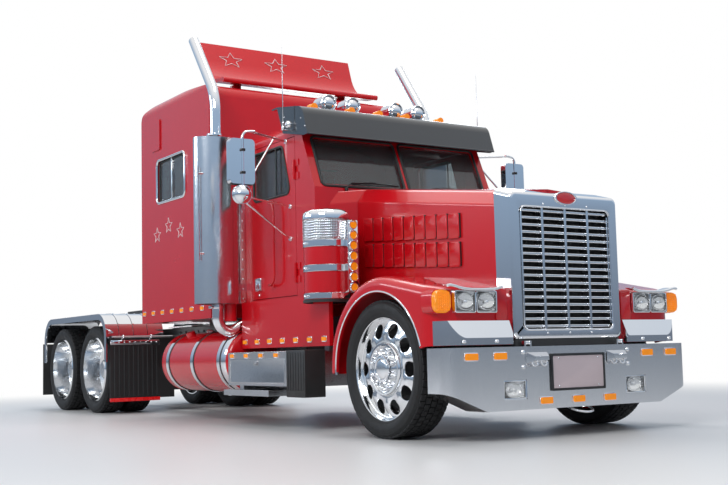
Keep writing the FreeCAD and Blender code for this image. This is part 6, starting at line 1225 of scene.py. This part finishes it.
runners = [tube([(x, 0.325, 1.440), (x, 0.370, 1.440), (x, 0.385, 1.400)], 0.026)
           for x in (-0.93, -0.75, -0.57, -0.39, -0.21, -0.03)]
manifold = tube([(-1.00, 0.388, 1.390), (0.06, 0.388, 1.390)], 0.042)
intake_line = [(-0.30, -0.36, 1.40), (0.20, -0.40, 1.45), (0.20, -0.20, 1.58), (-0.30, -0.22, 1.60)]
intake = ring_round(intake_line, 0.07, 0.038)
pulleys = [drum((0.150, y, z), "x", r, 0.030, 0.004, 36)
           for y, z, r in ((0.0, 0.86, 0.10), (0.16, 1.14, 0.055), (-0.15, 1.20, 0.060))]
fan_z = 1.270
fan_hub = [drum((0.150, 0.0, fan_z), "x", 0.045, 0.115, 0.006, 28),
           drum((0.245, 0.0, fan_z), "x", 0.085, 0.020, 0.004, 28)]
fit("engine_dress", joined(*block_ribs, *flanges, *runners, manifold, intake, *pulleys, *fan_hub), cast_paint)
blade = placed(slab((-0.004, -0.045, 0.075), (0.004, 0.045, 0.300), "x", 0.030), turn=(0, 0, math.radians(32)))
fan = placed(round_about(blade, (0, 0, 0), "x", 8), (0.265, 0.0, fan_z))
belt_line = [(0.165, y, z) for y, z in ((-0.215, 1.26), (-0.10, 0.76), (0.10, 0.76), (0.22, 1.20))]
belt = ring_round(belt_line, 0.05, 0.006)
fit("fan", joined(fan, belt), flap_rubber, slot="frame_black")

# Radiator: thin upright fins between two side bars, a header tank above and below, and a hose to the engine.
fins = row_of(block((0.418, -0.450, 1.060), (0.4295, -0.446, 1.690), 0.0), 76, (0, 0.012, 0))
side_bars = [block((0.405, y, 1.005), (0.432, y + 0.035, 1.735), 0.004) for y in (-0.488, 0.453)]
headers = [across(slab, (0.400, 0.432), 0, 0.488, (z, z + 0.050), "x", 0.010, 0.004) for z in (1.005, 1.690)]
hose = tube([(0.150, 0.13, 1.50), (0.24, 0.13, 1.52), (0.32, 0.20, 1.62), (0.42, 0.24, 1.71)], 0.028)
fit("radiator_dress", joined(fins, *side_bars, *headers, hose), frame_paint)

# Studio: a pale seamless floor, broad soft lamps and a camera at the angle that the photograph has. The floor fades
# to white for the camera alone, far from the truck, and keeps the truck's shadow.
clear()
bpy.ops.mesh.primitive_plane_add(size=120, location=(0, 0, 0))
floor = bpy.context.object
floor.name = "studio_floor"
take(floor, whole=True)
bpy.ops.mesh.subdivide(number_cuts=3)
clear()
white, fade_from, fade_to = (1, 1, 1, 1), 5.0, 11.0
pale = bpy.data.materials.new("studio_floor")
pale.use_nodes = True
tree = pale.node_tree
link, shader = tree.links.new, tree.nodes["Principled BSDF"]
shader.inputs["Base Color"].default_value = (0.74, 0.74, 0.745, 1)
shader.inputs["Roughness"].default_value = 0.38
glow = node(tree, "Emission", Color=white, Strength=1.0)
place, rays, far = node(tree, "TexCoord"), node(tree, "LightPath"), node(tree, "VectorMath")
far.operation = "LENGTH"
link(place.outputs["Object"], far.inputs[0])
fade = node(tree, "MapRange", From_Min=fade_from, From_Max=fade_to)
fade.interpolation_type = "SMOOTHSTEP"
link(far.outputs["Value"], fade.inputs["Value"])
seen, blend = node(tree, "Math"), node(tree, "MixShader")
seen.operation = "MULTIPLY"
for made, socket in ((fade.outputs["Result"], seen.inputs[0]), (rays.outputs["Is Camera Ray"], seen.inputs[1]),
                     (seen.outputs[0], blend.inputs[0]), (shader.outputs[0], blend.inputs[1]),
                     (glow.outputs[0], blend.inputs[2]),
                     (blend.outputs[0], tree.nodes["Material Output"].inputs["Surface"])):
    link(made, socket)
floor.data.materials.append(pale)

# The world lights the truck evenly. What sees it straight or through glass finds white, and bright metal finds the
# same pale studio, a little deeper towards the horizon, so that its bends read.
world = bpy.data.worlds.new("studio")
bpy.context.scene.world = world
world.use_nodes = True
tree = world.node_tree
link, rays, soft = tree.links.new, node(tree, "LightPath"), tree.nodes["Background"]
soft.inputs["Color"].default_value, soft.inputs["Strength"].default_value = (0.90, 0.95, 1.0, 1), 0.38
plain, dome_sky = node(tree, "Background", Color=white, Strength=1.0), node(tree, "Background")
place, height, rise = node(tree, "TexCoord"), node(tree, "SeparateXYZ"), node(tree, "ValToRGB")
low, high = rise.color_ramp.elements
low.position, low.color = 0.0, (0.17, 0.20, 0.25, 1)
high.position, high.color = 0.75, white
rise.color_ramp.elements.new(0.18).color = (0.34, 0.47, 0.64, 1)
either, first, second = node(tree, "Math"), node(tree, "MixShader"), node(tree, "MixShader")
either.operation = "MAXIMUM"
for made, socket in ((place.outputs["Generated"], height.inputs["Vector"]), (height.outputs["Z"], rise.inputs["Fac"]),
                     (rise.outputs["Color"], dome_sky.inputs["Color"]),
                     (rays.outputs["Is Camera Ray"], either.inputs[0]),
                     (rays.outputs["Is Transmission Ray"], either.inputs[1]),
                     (rays.outputs["Is Glossy Ray"], first.inputs["Fac"]), (soft.outputs[0], first.inputs[1]),
                     (dome_sky.outputs[0], first.inputs[2]), (either.outputs[0], second.inputs["Fac"]),
                     (first.outputs[0], second.inputs[1]), (plain.outputs[0], second.inputs[2]),
                     (second.outputs[0], tree.nodes["World Output"].inputs["Surface"])):
    link(made, socket)


def lamp(name, place, aim, width, height, power, colour=(1, 1, 1)):
    """A soft box lamp that looks at its aim."""
    clear()
    bpy.ops.object.light_add(type="AREA", location=place)
    light = bpy.context.object
    light.name = name
    light.rotation_euler = (Vector(aim) - Vector(place)).to_track_quat("-Z", "Y").to_euler()
    light.data.shape, light.data.size, light.data.size_y = "RECTANGLE", width, height
    light.data.energy, light.data.color = power, colour


lamp("key_box", (9, -9, 8), (1, 0, 1.5), 5, 3, 640)
lamp("side_box", (-6, -12, 6), (-1, 0, 1.8), 9, 2.5, 420, (0.9, 0.95, 1))
lamp("top_box", (0, 0, 9), (0, 0, 0), 11, 2.5, 420)
lamp("back_box", (-9, 8, 7), (0, 0, 1.5), 6, 3, 300)

bpy.ops.object.camera_add(location=(10.811, -5.969, 0.662))
camera = bpy.context.object
yaw, pitch, roll = 0.992, 0.097, -0.024
ahead = Vector((-math.sin(yaw) * math.cos(pitch), math.cos(yaw) * math.cos(pitch), math.sin(pitch)))
right = Vector((math.cos(yaw), math.sin(yaw), 0))
up = right.cross(ahead)
level = (math.cos(roll) * right + math.sin(roll) * up, math.cos(roll) * up - math.sin(roll) * right, -ahead)
camera.rotation_euler = Matrix(level).transposed().to_euler()
camera.data.sensor_width, camera.data.lens = 36, 55.58
camera.data.clip_end = 500
bpy.context.scene.camera = camera
bpy.context.scene.view_settings.view_transform = "Standard"
